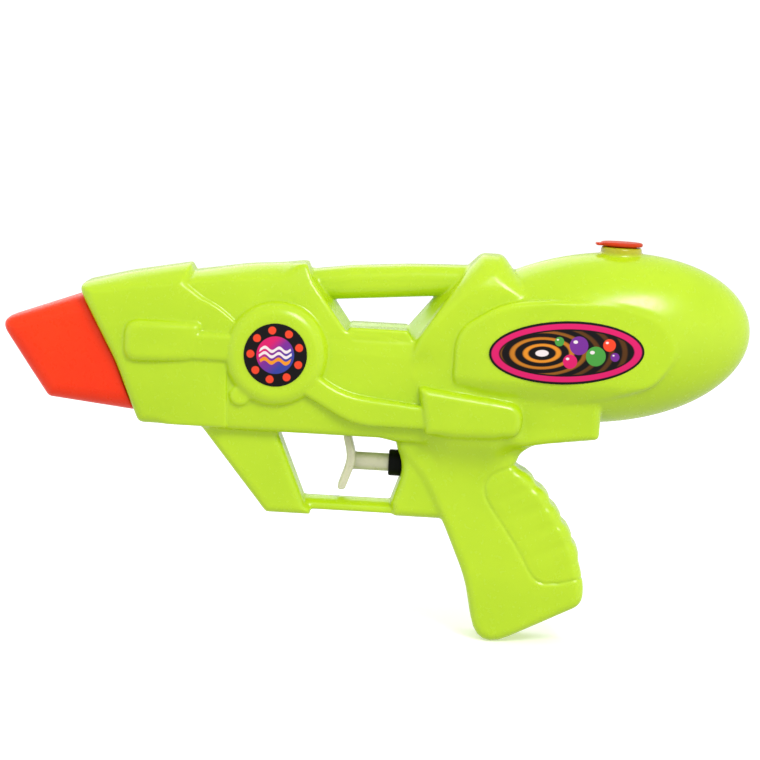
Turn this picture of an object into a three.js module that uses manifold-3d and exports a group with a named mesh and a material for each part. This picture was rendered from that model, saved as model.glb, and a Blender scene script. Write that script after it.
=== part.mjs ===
// Toy water squirter: a hollow blow-moulded pistol body with a hand pump, an orange tip and a filler plug.
//
// Millimetres, +Z up, muzzle towards -X, Y across the toy. Side outlines are drawn from two datums:
// x runs back from the tip of the muzzle and z runs up from the axis of the pump.
// The assembly is centred on its bounding box at the end.

import * as THREE from 'three';
import { mergeVertices } from 'three/addons/utils/BufferGeometryUtils.js';
import Module from 'manifold-3d';

const wasm = await Module();
wasm.setup();

// Walls and gaps
const WALL = 1.4; // moulded wall of the body and of the tip
const SEAT_GAP = 0.3; // left between pieces that seat on each other
const LABEL_GAP = 0.05; // adhesive under a sticker

// Tank: a tilted egg with a flat on each side for the sticker
const LENGTH = 280; // muzzle to the back of the tank
const TANK_HALF_LENGTH = 58;
const TANK_HALF_WIDTH = 26.4; // before the flats are cut
const TANK_HALF_HEIGHT = 32;
const TANK_FLAT = 23; // middle plane to each flat
const TANK_TILT = THREE.MathUtils.degToRad(5);
const TANK_X = LENGTH - TANK_HALF_LENGTH;
const TANK_Z = 51.5;

// Filler neck and plug
const NECK_SETBACK = 7.5; // behind the middle of the tank
const NECK_RADIUS = 7.5;
const NECK_BORE = 5.8;
const NECK_RISE = 2.2; // from the top of the tank to the rim
const PLUG_DISC = 7.8; // radius
const PLUG_DISC_HEIGHT = 1.5;
const PLUG_STEM = 8; // length
const PLUG_WALL = 1.2;
const PLUG_TAPER = 0.5; // taken off the end of the stem
const PLUG_CHAMFER = 0.6;
const PLUG_TAB = 9.6; // from the plug's axis to the end of its tab
const PLUG_TAB_WIDTH = 6;
const PLUG_TAB_HEIGHT = 0.9;

// Levels and half widths of the body's blocks
const UNDERSIDE_Z = 10.6;
const FRONT_UNDERSIDE_Z = 11.3;
const GUARD_TOP_Z = -13.9;
const GUARD_BOTTOM_Z = -18.5;
const FOOT_Z = -20.9;
const SILL_Z = 51.9; // bottom edge of the handle opening
const SHOULDER_Z = 46.8; // top of the thick part below the handle opening
const FRONT_HALF = 17.5;
const MID_HALF = 16;
const FRAME_HALF = 12.5;
const REAR_HALF = 18.5;
const HANDLE_HALF = 8;
const STRUT_HALF = 9.5;
const GUARD_HALF = 6.5;
const WEB_HALF = 9.5;
const GRIP_HALF = 13;

// Raised forms on both sides of the barrel
const RING_X = 104;
const RING_Z = 40;
const RING_RADIUS = 18.9;
const RING_FACE = 13.4; // radius of the flat top of the ring
const RING_RISE = 4.5;
const RING_LIP = 1.35; // upright edge of the ring
const RING_EASE = 0.9; // drop of the ring halfway down its slope
const BOSS_RISE = 2.8;
const BAND_RISE = 1.8;
const NUB_X = 91;
const NUB_Z = 24.3;
const NUB_RADIUS = 3.3;
const NUB_RISE = 1.6;

// Muzzle tip and jet
const TIP_HALF = 14;
const TIP_NOSE_HALF = 8.5;
const NOSE_Z = 43.1;
const NOSE_X = 0.7;
const JET_RADIUS = 2.1;
const JET_FLANGE = 3;
const JET_FLANGE_X = 5.2;
const JET_FLANGE_WIDTH = 1.2;
const JET_BORE = 0.75;
const GROMMET_RADIUS = 6.7;
const GROMMET_FRONT_X = 33;
const GROMMET_LENGTH = 12.5;

// Hoses and the barbs they push over
const HOSE_RADIUS = 2.5;
const HOSE_BORE = 1.6;
const BARB_RADIUS = 1.3;
const BARB_BORE = 0.8;
const BARB_LENGTH = 5;
const HOSE_STRAIGHT = BARB_LENGTH + 2; // straight run at each end of a hose
const STRAINER_RADIUS = 4.2;
const STRAINER_HEIGHT = 7;
const STRAINER_FLOOR = 1.2;
const STRAINER_PORT = 1.5;
const STRAINER_Z = -57.2;
const STRAINER_BACK = 48.3; // behind the front of the collar

// Trigger and pump, on the pump axis
const COLLAR_FRONT_X = 147.7;
const COLLAR_RADIUS = 4.95;
const PUMP_HOLE = 20; // depth of the hole that the collar sits in
const COLLAR_CHAMFER = 0.5;
const COLLAR_HEAD = 7.8;
const COLLAR_SPIGOT = 4;
const ROD_RADIUS = 3.35;
const ROD_PLAY = 0.15;
const CYLINDER_WALL = 0.6;
const CYLINDER_END = 1.5;
const RING_WIDTH = 1.8; // rod seal
const CUP_WIDTH = 3.2; // piston seal
const CUP_PIN = 1.8; // radius of the pin that carries it
const SPRING_LENGTH = 15;
const SPRING_WIRE = 0.4; // radius
const SPRING_TURNS = 6;
const BOW_HALF = 6;
const BOW_THICKNESS = 2.5;
const BOW_TIP_Z = -10.4;
const BOW_LEAN = 3.2; // how far the lower arm leans forward
const BOW_TOP_LEAN = 1.9; // the same for the upper arm
const BOW_HOLLOW = 0.4; // the finger hollow behind the front
const BOW_HOLLOW_Z = 1;
const BOW_PLAY = 0.5; // under the barrel
const BOW_AHEAD = 15; // front of the bow ahead of the front of the collar

// Valves, above and below the end of the pump
const BLOCK_LENGTH = 8.6;
const BLOCK_HALF = 4.6;
const VALVE_BORE = 3;
const BALL_RADIUS = 2.2;
const BALL_LIFT = 0.9;
const BALL_PLAY = 0.1;
const INLET_PORT = 1;
const OUTLET_PORT = 1.3;
const PORT_RADIUS = 2.1; // spigot from the pump into the block
const PORT_WALL = 0.9;
const PARTITION = 1.5;
const SEAT_DEPTH = 4.4;
const CAP_DEPTH = 2.4;
const FLANGE_RADIUS = 4;
const FLANGE_HEIGHT = 1.3;
const VALVE_SPRING_LENGTH = 2.5;
const VALVE_SPRING_WIRE = 0.25;
const VALVE_SPRING_TURNS = 2;

// Stickers
const LABEL_THICKNESS = 0.25;
const ROUND_LABEL = 11.6; // radius
const OVAL_LABEL_X = 28.3; // half length
const OVAL_LABEL_Z = 11.6; // half height
const OVAL_FORWARD = 11.9; // ahead of the middle of the tank
const OVAL_BELOW = 4.2; // below the middle of the tank
const OVAL_TILT = THREE.MathUtils.degToRad(4);

// Facets
const WELD = 1e-4;
const LEAST_ROUND = 0.3; // radius left at a corner that is drawn in
const EDGE_SHARE = 0.48; // most of an edge that one corner's rounding takes
const CORNER_STEPS = 3;
const EDGE_STEPS = 2;
const TANK_ROUND = 24;
const TANK_STATIONS = 16;
const TURNED_SIDES = 16;
const COLLAR_SIDES = 24;
const NECK_SIDES = 28;
const LABEL_SIDES = 36;
const BALL_SIDES = 12;
const HOSE_SIDES = 8;
const WIRE_SIDES = 6;
const TURN_STEPS = 8;
const SMOOTHING = 0.05; // facets flatter than this are joined

// Booleans work on closed meshes whose shared corners are one vertex.
function solid(geometry) {
  const bare = geometry.clone();
  bare.deleteAttribute('normal');
  bare.deleteAttribute('uv');
  const welded = mergeVertices(bare, WELD);
  const corners = welded.index.array;
  const triangles = [];
  for (let i = 0; i < corners.length; i += 3) {
    const [a, b, c] = corners.slice(i, i + 3);
    if (a !== b && b !== c && c !== a) triangles.push(a, b, c);
  }
  const vertProperties = new Float32Array(welded.attributes.position.array);
  const triVerts = new Uint32Array(triangles);
  return new wasm.Manifold(new wasm.Mesh({ numProp: 3, vertProperties, triVerts }));
}

function join(solids) {
  return solids.reduce((whole, next) => whole.add(next));
}

function piece(name, form, color, roughness = 0.4) {
  const { vertProperties, triVerts } = form.getMesh();
  const geometry = new THREE.BufferGeometry();
  geometry.setAttribute('position', new THREE.BufferAttribute(vertProperties, 3));
  geometry.setIndex(new THREE.BufferAttribute(triVerts, 1));
  geometry.computeVertexNormals();
  const finish = new THREE.MeshStandardMaterial({ color, roughness, metalness: 0 });
  const mesh = new THREE.Mesh(geometry, finish);
  mesh.name = name;
  return mesh;
}

// A list of corners, each [x, z, radius], becomes a closed rounded loop drawn in by `inset`.
function loop(outline, inset = 0) {
  const given = outline.map(([x, z]) => new THREE.Vector2(x, z));
  const corners = THREE.ShapeUtils.area(given) < 0 ? outline.toReversed() : outline;
  const points = corners.map(([x, z]) => new THREE.Vector2(x, z));
  const around = (list, i) => [list.at(i - 1), list[i], list[(i + 1) % list.length]];
  const inward = (from, to) => new THREE.Vector2(from.y - to.y, to.x - from.x).normalize();
  const drawn = points.map((_, i) => {
    const [before, corner, after] = around(points, i);
    const first = inward(before, corner);
    const second = inward(corner, after);
    return corner.clone().addScaledVector(first.clone().add(second), inset / (1 + first.dot(second)));
  });
  return drawn.flatMap((_, i) => {
    const [before, corner, after] = around(drawn, i);
    const radius = corners[i][2];
    if (!radius) return [corner];
    const back = before.clone().sub(corner);
    const on = after.clone().sub(corner);
    const convex = on.cross(back) > 0;
    const fitted = convex ? Math.max(radius - inset, LEAST_ROUND) : radius + inset;
    const half = on.angleTo(back) / 2;
    const room = EDGE_SHARE * Math.min(back.length(), on.length());
    const reach = Math.min(fitted / Math.tan(half), room);
    const start = corner.clone().addScaledVector(back.normalize(), reach);
    const end = corner.clone().addScaledVector(on.normalize(), reach);
    return new THREE.QuadraticBezierCurve(start, corner, end).getPoints(CORNER_STEPS);
  });
}

// Loops of equally many points, each at its own y, become one closed body.
function loft(layers) {
  const count = layers[0].points.length;
  const positions = layers.flatMap(({ y, points }) => points.flatMap((point) => [point.x, y, point.y]));
  const index = [];
  for (let layer = 0; layer + 1 < layers.length; layer++) {
    for (let i = 0; i < count; i++) {
      const a = layer * count + i;
      const b = layer * count + ((i + 1) % count);
      index.push(a, a + count, b, b, a + count, b + count);
    }
  }
  const last = (layers.length - 1) * count;
  for (const [a, b, c] of THREE.ShapeUtils.triangulateShape(layers[0].points, [])) index.push(a, b, c);
  for (const [a, b, c] of THREE.ShapeUtils.triangulateShape(layers.at(-1).points, [])) {
    index.push(last + a, last + c, last + b);
  }
  const geometry = new THREE.BufferGeometry();
  geometry.setAttribute('position', new THREE.Float32BufferAttribute(positions, 3));
  geometry.setIndex(index);
  return geometry;
}

// A block with the side outline, `half` thick each way, whose edges round over by [inwards, sideways].
function slab({ outline, half, edge: [inwards, sideways] }, inset = 0) {
  const face = half - inset;
  const steps = inset > 0 ? 1 : EDGE_STEPS;
  const rounding = [];
  for (let step = steps; step >= 0; step--) {
    const turn = ((step / steps) * Math.PI) / 2;
    const y = face - sideways * (1 - Math.sin(turn));
    rounding.push({ y, points: loop(outline, inset + inwards * (1 - Math.cos(turn))) });
  }
  const far = rounding.toReversed();
  return loft([...rounding.map(({ y, points }) => ({ y: -y, points })), ...far]);
}

// Profiles of [distance along the axis, radius] spun round X or Z.
function turned(profile, axis, sides = TURNED_SIDES) {
  const points = profile.map(([along, radius]) => new THREE.Vector2(radius, along));
  const geometry = new THREE.LatheGeometry(points, sides);
  return axis === 'x' ? geometry.rotateZ(-Math.PI / 2) : geometry.rotateX(Math.PI / 2);
}

function rod(start, end, radius) {
  return [[start, 0], [start, radius], [end, radius], [end, 0]];
}

function tube(start, end, bore, radius) {
  return [[start, bore], [start, radius], [end, radius], [end, bore], [start, bore]];
}

// A hollow hose through points of the middle plane.
function hose(route) {
  const ring = new THREE.Shape();
  ring.absarc(0, 0, HOSE_RADIUS, 0, 2 * Math.PI);
  const bore = new THREE.Path();
  bore.absarc(0, 0, HOSE_BORE, 0, 2 * Math.PI);
  ring.holes.push(bore);
  const path = new THREE.CatmullRomCurve3(route.map(([x, z]) => new THREE.Vector3(x, 0, z)));
  const steps = Math.round(path.getLength() / HOSE_STRAIGHT);
  return new THREE.ExtrudeGeometry(ring, { steps, extrudePath: path, curveSegments: HOSE_SIDES / 2 });
}

// A spring of round wire along Z from the origin.
class Helix extends THREE.Curve {
  constructor(radius, length, turns) {
    super();
    Object.assign(this, { radius, length, turns });
  }

  getPoint(t) {
    const angle = 2 * Math.PI * this.turns * t;
    return new THREE.Vector3(this.radius * Math.cos(angle), this.radius * Math.sin(angle), this.length * t);
  }
}

function spring(radius, wire, length, turns) {
  const path = new Helix(radius, length - 2 * wire, turns);
  const section = new THREE.Shape().absarc(0, 0, wire, 0, 2 * Math.PI);
  const sweep = { steps: turns * TURN_STEPS, extrudePath: path, curveSegments: WIRE_SIDES / 2 };
  return new THREE.ExtrudeGeometry(section, sweep).translate(0, 0, wire);
}

// Both-sided features: the +Y one and its mirror image.
function bothSides(geometry) {
  const half = solid(geometry);
  return half.add(half.mirror([0, 1, 0]));
}

// Body blocks, front to back
const FRONT_BLOCK = {
  outline: [
    [28.2, 60.4, 3],
    [48, 66.1, 60],
    [70.4, 70.2, 1.2],
    [73.2, 65.6, 3],
    [76.4, 59.8, 8],
    [90, 49.5, 4],
    [86, 32, 6],
    [87, FRONT_UNDERSIDE_Z, 1],
    [53.4, FRONT_UNDERSIDE_Z, 3],
    [43.5, 33.5, 60],
  ],
  half: FRONT_HALF,
  edge: [2.5, 4],
};
const MID_BLOCK = {
  outline: [
    [62, 62, 0],
    [72, 67.5, 0.5],
    [92, 71.1, 80],
    [113.2, 73.3, 1.2],
    [116, 66.4, 4],
    [131.6, SHOULDER_Z, 5],
    [166, SHOULDER_Z, 0],
    [166, UNDERSIDE_Z, 0],
    [62, UNDERSIDE_Z, 0],
  ],
  half: MID_HALF,
  edge: [2.5, 4],
};
const FRAME_BLOCK = {
  outline: [
    [106, 70, 0],
    [116, 70.3, 2],
    [124.4, 60.6, 1],
    [130.6, SILL_Z, 1.5],
    [152.2, SILL_Z, 1.5],
    [161.8, 64, 1],
    [168, 72, 0],
    [178, 72, 0],
    [178, 38, 0],
    [106, 38, 0],
  ],
  half: FRAME_HALF,
  edge: [3, 7],
};
const HANDLE_BAR = {
  outline: [
    [108, 69.8, 0],
    [130, 73, 60],
    [152, 74.8, 60],
    [182, 75.9, 0],
    [182, 65.5, 0],
    [160, 63.5, 20],
    [108, 58.9, 0],
  ],
  half: HANDLE_HALF,
  edge: [3.6, 5.5],
};
const SADDLE_BLOCK = {
  outline: [
    [150, UNDERSIDE_Z, 0],
    [150, SHOULDER_Z, 0],
    [157.4, 50.6, 6],
    [173.2, 75.2, 8],
    [177.9, 80.2, 4],
    [185.8, 80.2, 4],
    [191.6, 72.6, 5],
    [210, 56, 0],
    [210, 13, 0],
    [188, UNDERSIDE_Z, 0],
  ],
  half: REAR_HALF,
  edge: [5, 8],
};
const TAIL_BLOCK = {
  outline: [
    [160, 38, 0],
    [225.9, 38, 0],
    [225.9, 14.8, 2.2],
    [206, 12.2, 30],
    [192, 9.6, 0],
    [160, UNDERSIDE_Z, 0],
  ],
  half: REAR_HALF,
  edge: [2.5, 4],
};
const STRUT = {
  outline: [
    [66, 24, 0],
    [103, FOOT_Z, 2],
    [119.3, FOOT_Z, 1.5],
    [100, 24, 0],
  ],
  half: STRUT_HALF,
  edge: [2, 4],
};
// The guard, the web behind the trigger and the grip keep their place behind the front of the collar.
function fromCollar(outline) {
  return outline.map(([x, z, radius]) => [COLLAR_FRONT_X + x, z, radius]);
}

const GUARD_BAR = {
  outline: fromCollar([
    [-39.7, GUARD_TOP_Z, 0],
    [6.3, GUARD_TOP_Z, 0],
    [6.3, GUARD_BOTTOM_Z, 0],
    [-39.7, GUARD_BOTTOM_Z, 0],
  ]),
  half: GUARD_HALF,
  edge: [1.4, 3],
};
const WEB = {
  outline: fromCollar([
    [1.5, UNDERSIDE_Z + 2, 0],
    [2.3, 8.9, 0],
    [5.7, -1.2, 14],
    [1.6, GUARD_TOP_Z, 0.6],
    [2.7, -19.7, 2],
    [24.3, -19.7, 0],
    [32.3, -14, 0],
    [28.3, UNDERSIDE_Z + 2, 0],
  ]),
  half: WEB_HALF,
  edge: [2.2, 4.5],
};
const GRIP = {
  outline: fromCollar([
    [2.9, UNDERSIDE_Z + 6, 0],
    [3.1, 6.6, 4],
    [12.7, -4.6, 25],
    [21.7, -20.5, 60],
    [30.9, -40.6, 60],
    [36.7, -67.7, 7],
    [75.9, -48.5, 7],
    [76.1, -40, 25],
    [70.5, -23.4, 40],
    [59.1, -6.7, 40],
    [47.3, 3.2, 3],
    [50.6, 9.6, 7],
    [64, 13.8, 0],
    [64, UNDERSIDE_Z + 15, 0],
  ]),
  half: GRIP_HALF,
  edge: [3, 5],
};
const SOLID_BLOCKS = [GUARD_BAR, WEB];
const HOLLOW_BLOCKS = [
  FRONT_BLOCK, MID_BLOCK, FRAME_BLOCK, HANDLE_BAR, SADDLE_BLOCK, TAIL_BLOCK, STRUT, GRIP,
];

// Raised forms, each an outline standing out from a block by its rise
const FRONT_PILL = {
  outline: [[47.8, 35.4, 6], [74.6, 35.4, 3], [74.6, 49.8, 3], [47.8, 49.8, 6]],
  half: FRONT_HALF + BOSS_RISE,
  edge: [1.6, 1.6],
};
const FRONT_BAND = {
  outline: [[70, 37, 0], [94, 37, 0], [94, 47.4, 0], [70, 47.4, 0]],
  half: FRONT_HALF + BAND_RISE,
  edge: [1.4, 1.4],
};
const REAR_PILL = {
  outline: [[159.8, 30.4, 2], [162.6, 15.2, 2], [195.2, 15.6, 6], [195.2, 26.8, 6]],
  half: REAR_HALF + BOSS_RISE,
  edge: [2, 2],
};
const SWOOP = {
  outline: [[116, 38, 0], [128.4, 27.4, 14], [166, 24.8, 0], [166, 15.7, 0], [133, 16.4, 24], [110, 30, 0]],
  half: MID_HALF + BOSS_RISE,
  edge: [2.2, 2.2],
};
const RAISED = [FRONT_PILL, FRONT_BAND, REAR_PILL, SWOOP];

// The egg: a ball stretched to its three half sizes, fuller across than along, with its sides cut flat.
function tankForm(shrink) {
  const egg = new THREE.SphereGeometry(1, TANK_ROUND, TANK_STATIONS).rotateZ(Math.PI / 2);
  const place = egg.attributes.position;
  for (let i = 0; i < place.count; i++) {
    const along = place.getX(i);
    const across = place.getY(i) * Math.sqrt(1 + along * along);
    place.setX(i, along * (TANK_HALF_LENGTH - shrink));
    place.setY(i, across * (TANK_HALF_WIDTH - shrink));
    place.setZ(i, place.getZ(i) * (TANK_HALF_HEIGHT - shrink));
  }
  const flats = new THREE.BoxGeometry(4 * TANK_HALF_LENGTH, 2 * (TANK_FLAT - shrink), 4 * TANK_HALF_HEIGHT);
  const form = solid(egg).intersect(solid(flats));
  return form.rotate([0, -THREE.MathUtils.radToDeg(TANK_TILT), 0]).translate([TANK_X, 0, TANK_Z]);
}

const NECK_X = TANK_X + NECK_SETBACK;
const NECK_TOP_Z = TANK_Z + TANK_HALF_HEIGHT + NECK_RISE;

function ringBoss() {
  const profile = [
    [0, 0],
    [0, RING_RADIUS],
    [RING_LIP, RING_RADIUS],
    [RING_RISE - RING_EASE, (RING_RADIUS + RING_FACE) / 2],
    [RING_RISE, RING_FACE],
    [RING_RISE, 0],
  ];
  return turned(profile, 'z', LABEL_SIDES).rotateX(-Math.PI / 2).translate(RING_X, MID_HALF, RING_Z);
}

function nub() {
  const profile = rod(-WALL, NUB_RISE, NUB_RADIUS);
  return turned(profile, 'z', BALL_SIDES).rotateX(-Math.PI / 2).translate(NUB_X, MID_HALF, NUB_Z);
}

function bodyShell() {
  const blocks = [...HOLLOW_BLOCKS, ...SOLID_BLOCKS].map((block) => solid(slab(block)));
  const raised = RAISED.map((form) => solid(slab(form)));
  const neck = turned(rod(TANK_Z, NECK_TOP_Z, NECK_RADIUS), 'z', NECK_SIDES).translate(NECK_X, 0, 0);
  const bosses = [bothSides(ringBoss()), bothSides(nub())];
  const outside = join([...blocks, ...raised, ...bosses, tankForm(0), solid(neck)]);
  const cavities = HOLLOW_BLOCKS.map((block) => solid(slab(block, WALL)));
  const neckBore = turned(rod(TANK_Z, NECK_TOP_Z + WALL, NECK_BORE), 'z', NECK_SIDES).translate(NECK_X, 0, 0);
  const pumpHole = turned(rod(COLLAR_FRONT_X, COLLAR_FRONT_X + PUMP_HOLE, COLLAR_RADIUS + SEAT_GAP), 'x');
  const grommetHole = turned(rod(0, GROMMET_FRONT_X + GROMMET_LENGTH, GROMMET_RADIUS + SEAT_GAP), 'x');
  const holes = [neckBore, pumpHole, grommetHole.translate(0, 0, NOSE_Z)].map(solid);
  const inside = join([...cavities, ...holes, tankForm(WALL)]);
  return outside.subtract(inside).simplify(SMOOTHING);
}

// The tip narrows across from the barrel to the nose and is cut to the face of the barrel.
const TIP = {
  outline: [
    [-2.4, 45.2, 4.5],
    [16.4, 24.6, 12],
    [19.7, 18.8, 2.8],
    [58, 15.2, 0],
    [58, 66.6, 0],
    [29, 56.5, 0],
  ],
  half: TIP_HALF,
  edge: [3.4, 6],
};

function tipForm(inset) {
  const form = slab(TIP, inset);
  const place = form.attributes.position;
  const end = FRONT_BLOCK.outline.at(-2)[0];
  for (let i = 0; i < place.count; i++) {
    const back = THREE.MathUtils.clamp(place.getX(i) / end, 0, 1);
    place.setY(i, place.getY(i) * THREE.MathUtils.lerp(TIP_NOSE_HALF / TIP_HALF, 1, back));
  }
  return solid(form);
}

function muzzleTip() {
  const jetHole = turned(rod(-JET_FLANGE_X, JET_FLANGE_X, JET_RADIUS + SEAT_GAP), 'x');
  const barrel = solid(slab(FRONT_BLOCK, -SEAT_GAP));
  return tipForm(0).subtract(tipForm(WALL)).subtract(solid(jetHole.translate(0, 0, NOSE_Z))).subtract(barrel);
}

// Jet, with a barb for the hose, measured from the nose
function nozzleJet() {
  const flangeEnd = JET_FLANGE_X + JET_FLANGE_WIDTH;
  const profile = [
    [NOSE_X + SEAT_GAP, JET_BORE],
    [NOSE_X + SEAT_GAP, JET_RADIUS],
    [JET_FLANGE_X, JET_RADIUS],
    [JET_FLANGE_X, JET_FLANGE],
    [flangeEnd, JET_FLANGE],
    [flangeEnd, BARB_RADIUS],
    [flangeEnd + BARB_LENGTH, BARB_RADIUS],
    [flangeEnd + BARB_LENGTH, JET_BORE],
    [NOSE_X + SEAT_GAP, JET_BORE],
  ];
  return solid(turned(profile, 'x'));
}

// Stations along the pump, measured back from the front of the collar
const CYLINDER_BORE = COLLAR_RADIUS - CYLINDER_WALL;
const CYLINDER_START = COLLAR_HEAD + SEAT_GAP;
const ROD_SEAL_START = COLLAR_HEAD + COLLAR_SPIGOT + SEAT_GAP;
const ROD_END = ROD_SEAL_START + RING_WIDTH + 2 * SEAT_GAP;
const CUP_START = ROD_END + SEAT_GAP;
const PIN_END = CUP_START + CUP_WIDTH + SEAT_GAP;
const SPRING_START = PIN_END + SEAT_GAP;
const CYLINDER_FLOOR = SPRING_START + SPRING_LENGTH + SEAT_GAP;
const CYLINDER_BACK = CYLINDER_FLOOR + CYLINDER_END;
const BLOCK_FRONT = CYLINDER_BACK + SEAT_GAP;
const VALVE_AXIS = BLOCK_FRONT + BLOCK_LENGTH / 2;
const VALVE_X = COLLAR_FRONT_X + VALVE_AXIS;
const STRAINER_X = COLLAR_FRONT_X + STRAINER_BACK;

function pumpCollar() {
  const bore = ROD_RADIUS + ROD_PLAY;
  const spigot = CYLINDER_BORE - SEAT_GAP;
  const profile = [
    [0, bore],
    [0, COLLAR_RADIUS - COLLAR_CHAMFER],
    [COLLAR_CHAMFER, COLLAR_RADIUS],
    [COLLAR_HEAD, COLLAR_RADIUS],
    [COLLAR_HEAD, spigot],
    [COLLAR_HEAD + COLLAR_SPIGOT, spigot],
    [COLLAR_HEAD + COLLAR_SPIGOT, bore],
    [0, bore],
  ];
  return solid(turned(profile, 'x', COLLAR_SIDES));
}

function pumpCylinder() {
  const portBore = PORT_RADIUS - PORT_WALL;
  const profile = [
    [CYLINDER_START, CYLINDER_BORE],
    [CYLINDER_START, COLLAR_RADIUS],
    [CYLINDER_BACK, COLLAR_RADIUS],
    [CYLINDER_BACK, PORT_RADIUS],
    [VALVE_AXIS, PORT_RADIUS],
    [VALVE_AXIS, portBore],
    [CYLINDER_FLOOR, portBore],
    [CYLINDER_FLOOR, CYLINDER_BORE],
    [CYLINDER_START, CYLINDER_BORE],
  ];
  return solid(turned(profile, 'x'));
}

// The bow is hollowed for the finger and its arms lean forward; the rod runs back into the pump.
function trigger() {
  const front = -BOW_AHEAD;
  const back = front + BOW_THICKNESS;
  const top = UNDERSIDE_Z - BOW_PLAY;
  const bow = {
    outline: [
      [front - BOW_TOP_LEAN, top, 0.8],
      [front + BOW_HOLLOW, BOW_HOLLOW_Z, 16],
      [front - BOW_LEAN, BOW_TIP_Z, 1.2],
      [back - BOW_LEAN, BOW_TIP_Z, 1.2],
      [back + BOW_HOLLOW, BOW_HOLLOW_Z, 12],
      [back - BOW_TOP_LEAN, top, 0.8],
    ],
    half: BOW_HALF,
    edge: [0.7, 1.2],
  };
  const root = front + BOW_HOLLOW + BOW_THICKNESS / 2;
  const plunger = [
    [root, 0],
    [root, ROD_RADIUS],
    [ROD_END, ROD_RADIUS],
    [ROD_END, CUP_PIN],
    [PIN_END, CUP_PIN],
    [PIN_END, 0],
  ];
  return solid(slab(bow)).add(solid(turned(plunger, 'x', COLLAR_SIDES)));
}

function rodSeal() {
  const end = ROD_SEAL_START + RING_WIDTH;
  const profile = tube(ROD_SEAL_START, end, ROD_RADIUS + ROD_PLAY, CYLINDER_BORE - ROD_PLAY);
  return solid(turned(profile, 'x'));
}

function pistonSeal() {
  const profile = tube(CUP_START, CUP_START + CUP_WIDTH, CUP_PIN + ROD_PLAY, CYLINDER_BORE - ROD_PLAY);
  return solid(turned(profile, 'x'));
}

function returnSpring() {
  const coil = spring(CYLINDER_BORE - SPRING_WIRE - 2 * ROD_PLAY, SPRING_WIRE, SPRING_LENGTH, SPRING_TURNS);
  return solid(coil.rotateY(Math.PI / 2).translate(SPRING_START, 0, 0));
}

// Levels in the valve block, measured from the pump axis
const CHAMBER_TOP = PORT_RADIUS + SEAT_GAP;
const OUTLET_SEAT_Z = CHAMBER_TOP + PARTITION;
const OUTLET_BALL_Z = OUTLET_SEAT_Z + Math.sqrt(BALL_RADIUS ** 2 - OUTLET_PORT ** 2) + BALL_PLAY;
const VALVE_SPRING_Z = OUTLET_BALL_Z + BALL_RADIUS + BALL_PLAY;
const CAP_Z = VALVE_SPRING_Z + VALVE_SPRING_LENGTH + BALL_PLAY;
const BLOCK_TOP = CAP_Z + CAP_DEPTH;
const INLET_BALL_Z = -(PORT_RADIUS + BALL_PLAY + BALL_LIFT + BALL_RADIUS);
const INLET_SEAT_Z = INLET_BALL_Z - Math.sqrt(BALL_RADIUS ** 2 - INLET_PORT ** 2) - BALL_PLAY;
const BLOCK_BOTTOM = INLET_SEAT_Z - SEAT_DEPTH;

function valveBlock() {
  const height = BLOCK_TOP - BLOCK_BOTTOM;
  const box = new THREE.BoxGeometry(BLOCK_LENGTH, 2 * BLOCK_HALF, height);
  const block = solid(box.translate(0, 0, BLOCK_BOTTOM + height / 2));
  const lower = turned(rod(BLOCK_BOTTOM - WALL, CHAMBER_TOP, VALVE_BORE), 'z');
  const upper = turned(rod(OUTLET_SEAT_Z, BLOCK_TOP + WALL, VALVE_BORE), 'z');
  const outlet = turned(rod(0, BLOCK_TOP, OUTLET_PORT), 'z');
  const port = turned(rod(-BLOCK_LENGTH, 0, PORT_RADIUS + SEAT_GAP), 'x');
  return block.subtract(join([lower, upper, outlet, port].map(solid)));
}

// A plug in one end of the valve block, with a flange against the block and a barb for the hose.
// `out` is +1 upwards and -1 downwards.
function valveFitting(inner, face, bore, out) {
  const flange = face + out * SEAT_GAP;
  const barb = flange + out * FLANGE_HEIGHT;
  const end = barb + out * BARB_LENGTH;
  const profile = [
    [inner, bore],
    [inner, VALVE_BORE - SEAT_GAP],
    [flange, VALVE_BORE - SEAT_GAP],
    [flange, FLANGE_RADIUS],
    [barb, FLANGE_RADIUS],
    [barb, BARB_RADIUS],
    [end, BARB_RADIUS],
    [end, BARB_BORE],
    [face, BARB_BORE],
    [face, bore],
    [inner, bore],
  ];
  return solid(turned(out > 0 ? profile : profile.toReversed(), 'z'));
}

function ball(z) {
  return solid(new THREE.SphereGeometry(BALL_RADIUS, BALL_SIDES, BALL_SIDES - 2).translate(0, 0, z));
}

function outletSpring() {
  const coil = spring(OUTLET_PORT, VALVE_SPRING_WIRE, VALVE_SPRING_LENGTH, VALVE_SPRING_TURNS);
  return solid(coil.translate(0, 0, VALVE_SPRING_Z));
}

// Hoses start just clear of the flange of the fitting whose barb they cover.
const HOSE_TOP = BLOCK_TOP + FLANGE_HEIGHT + 2 * SEAT_GAP;
const HOSE_BOTTOM = BLOCK_BOTTOM - FLANGE_HEIGHT - 2 * SEAT_GAP;
const JET_HOSE_X = JET_FLANGE_X + JET_FLANGE_WIDTH + SEAT_GAP;
const STRAINER_SEAT = STRAINER_Z + STRAINER_FLOOR + SEAT_GAP;

function deliveryTube() {
  const route = [
    [VALVE_X, HOSE_TOP],
    [VALVE_X, HOSE_TOP + BARB_LENGTH],
    [VALVE_X, HOSE_TOP + HOSE_STRAIGHT],
    [VALVE_X - 5, NOSE_Z - 11],
    [VALVE_X - 16, NOSE_Z - 4],
    [VALVE_X - 32, NOSE_Z - 1.3],
    [VALVE_X - 60, NOSE_Z],
    [GROMMET_FRONT_X + 2 * GROMMET_LENGTH, NOSE_Z],
    [GROMMET_FRONT_X, NOSE_Z],
    [JET_HOSE_X, NOSE_Z],
  ];
  return solid(hose(route));
}

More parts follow.
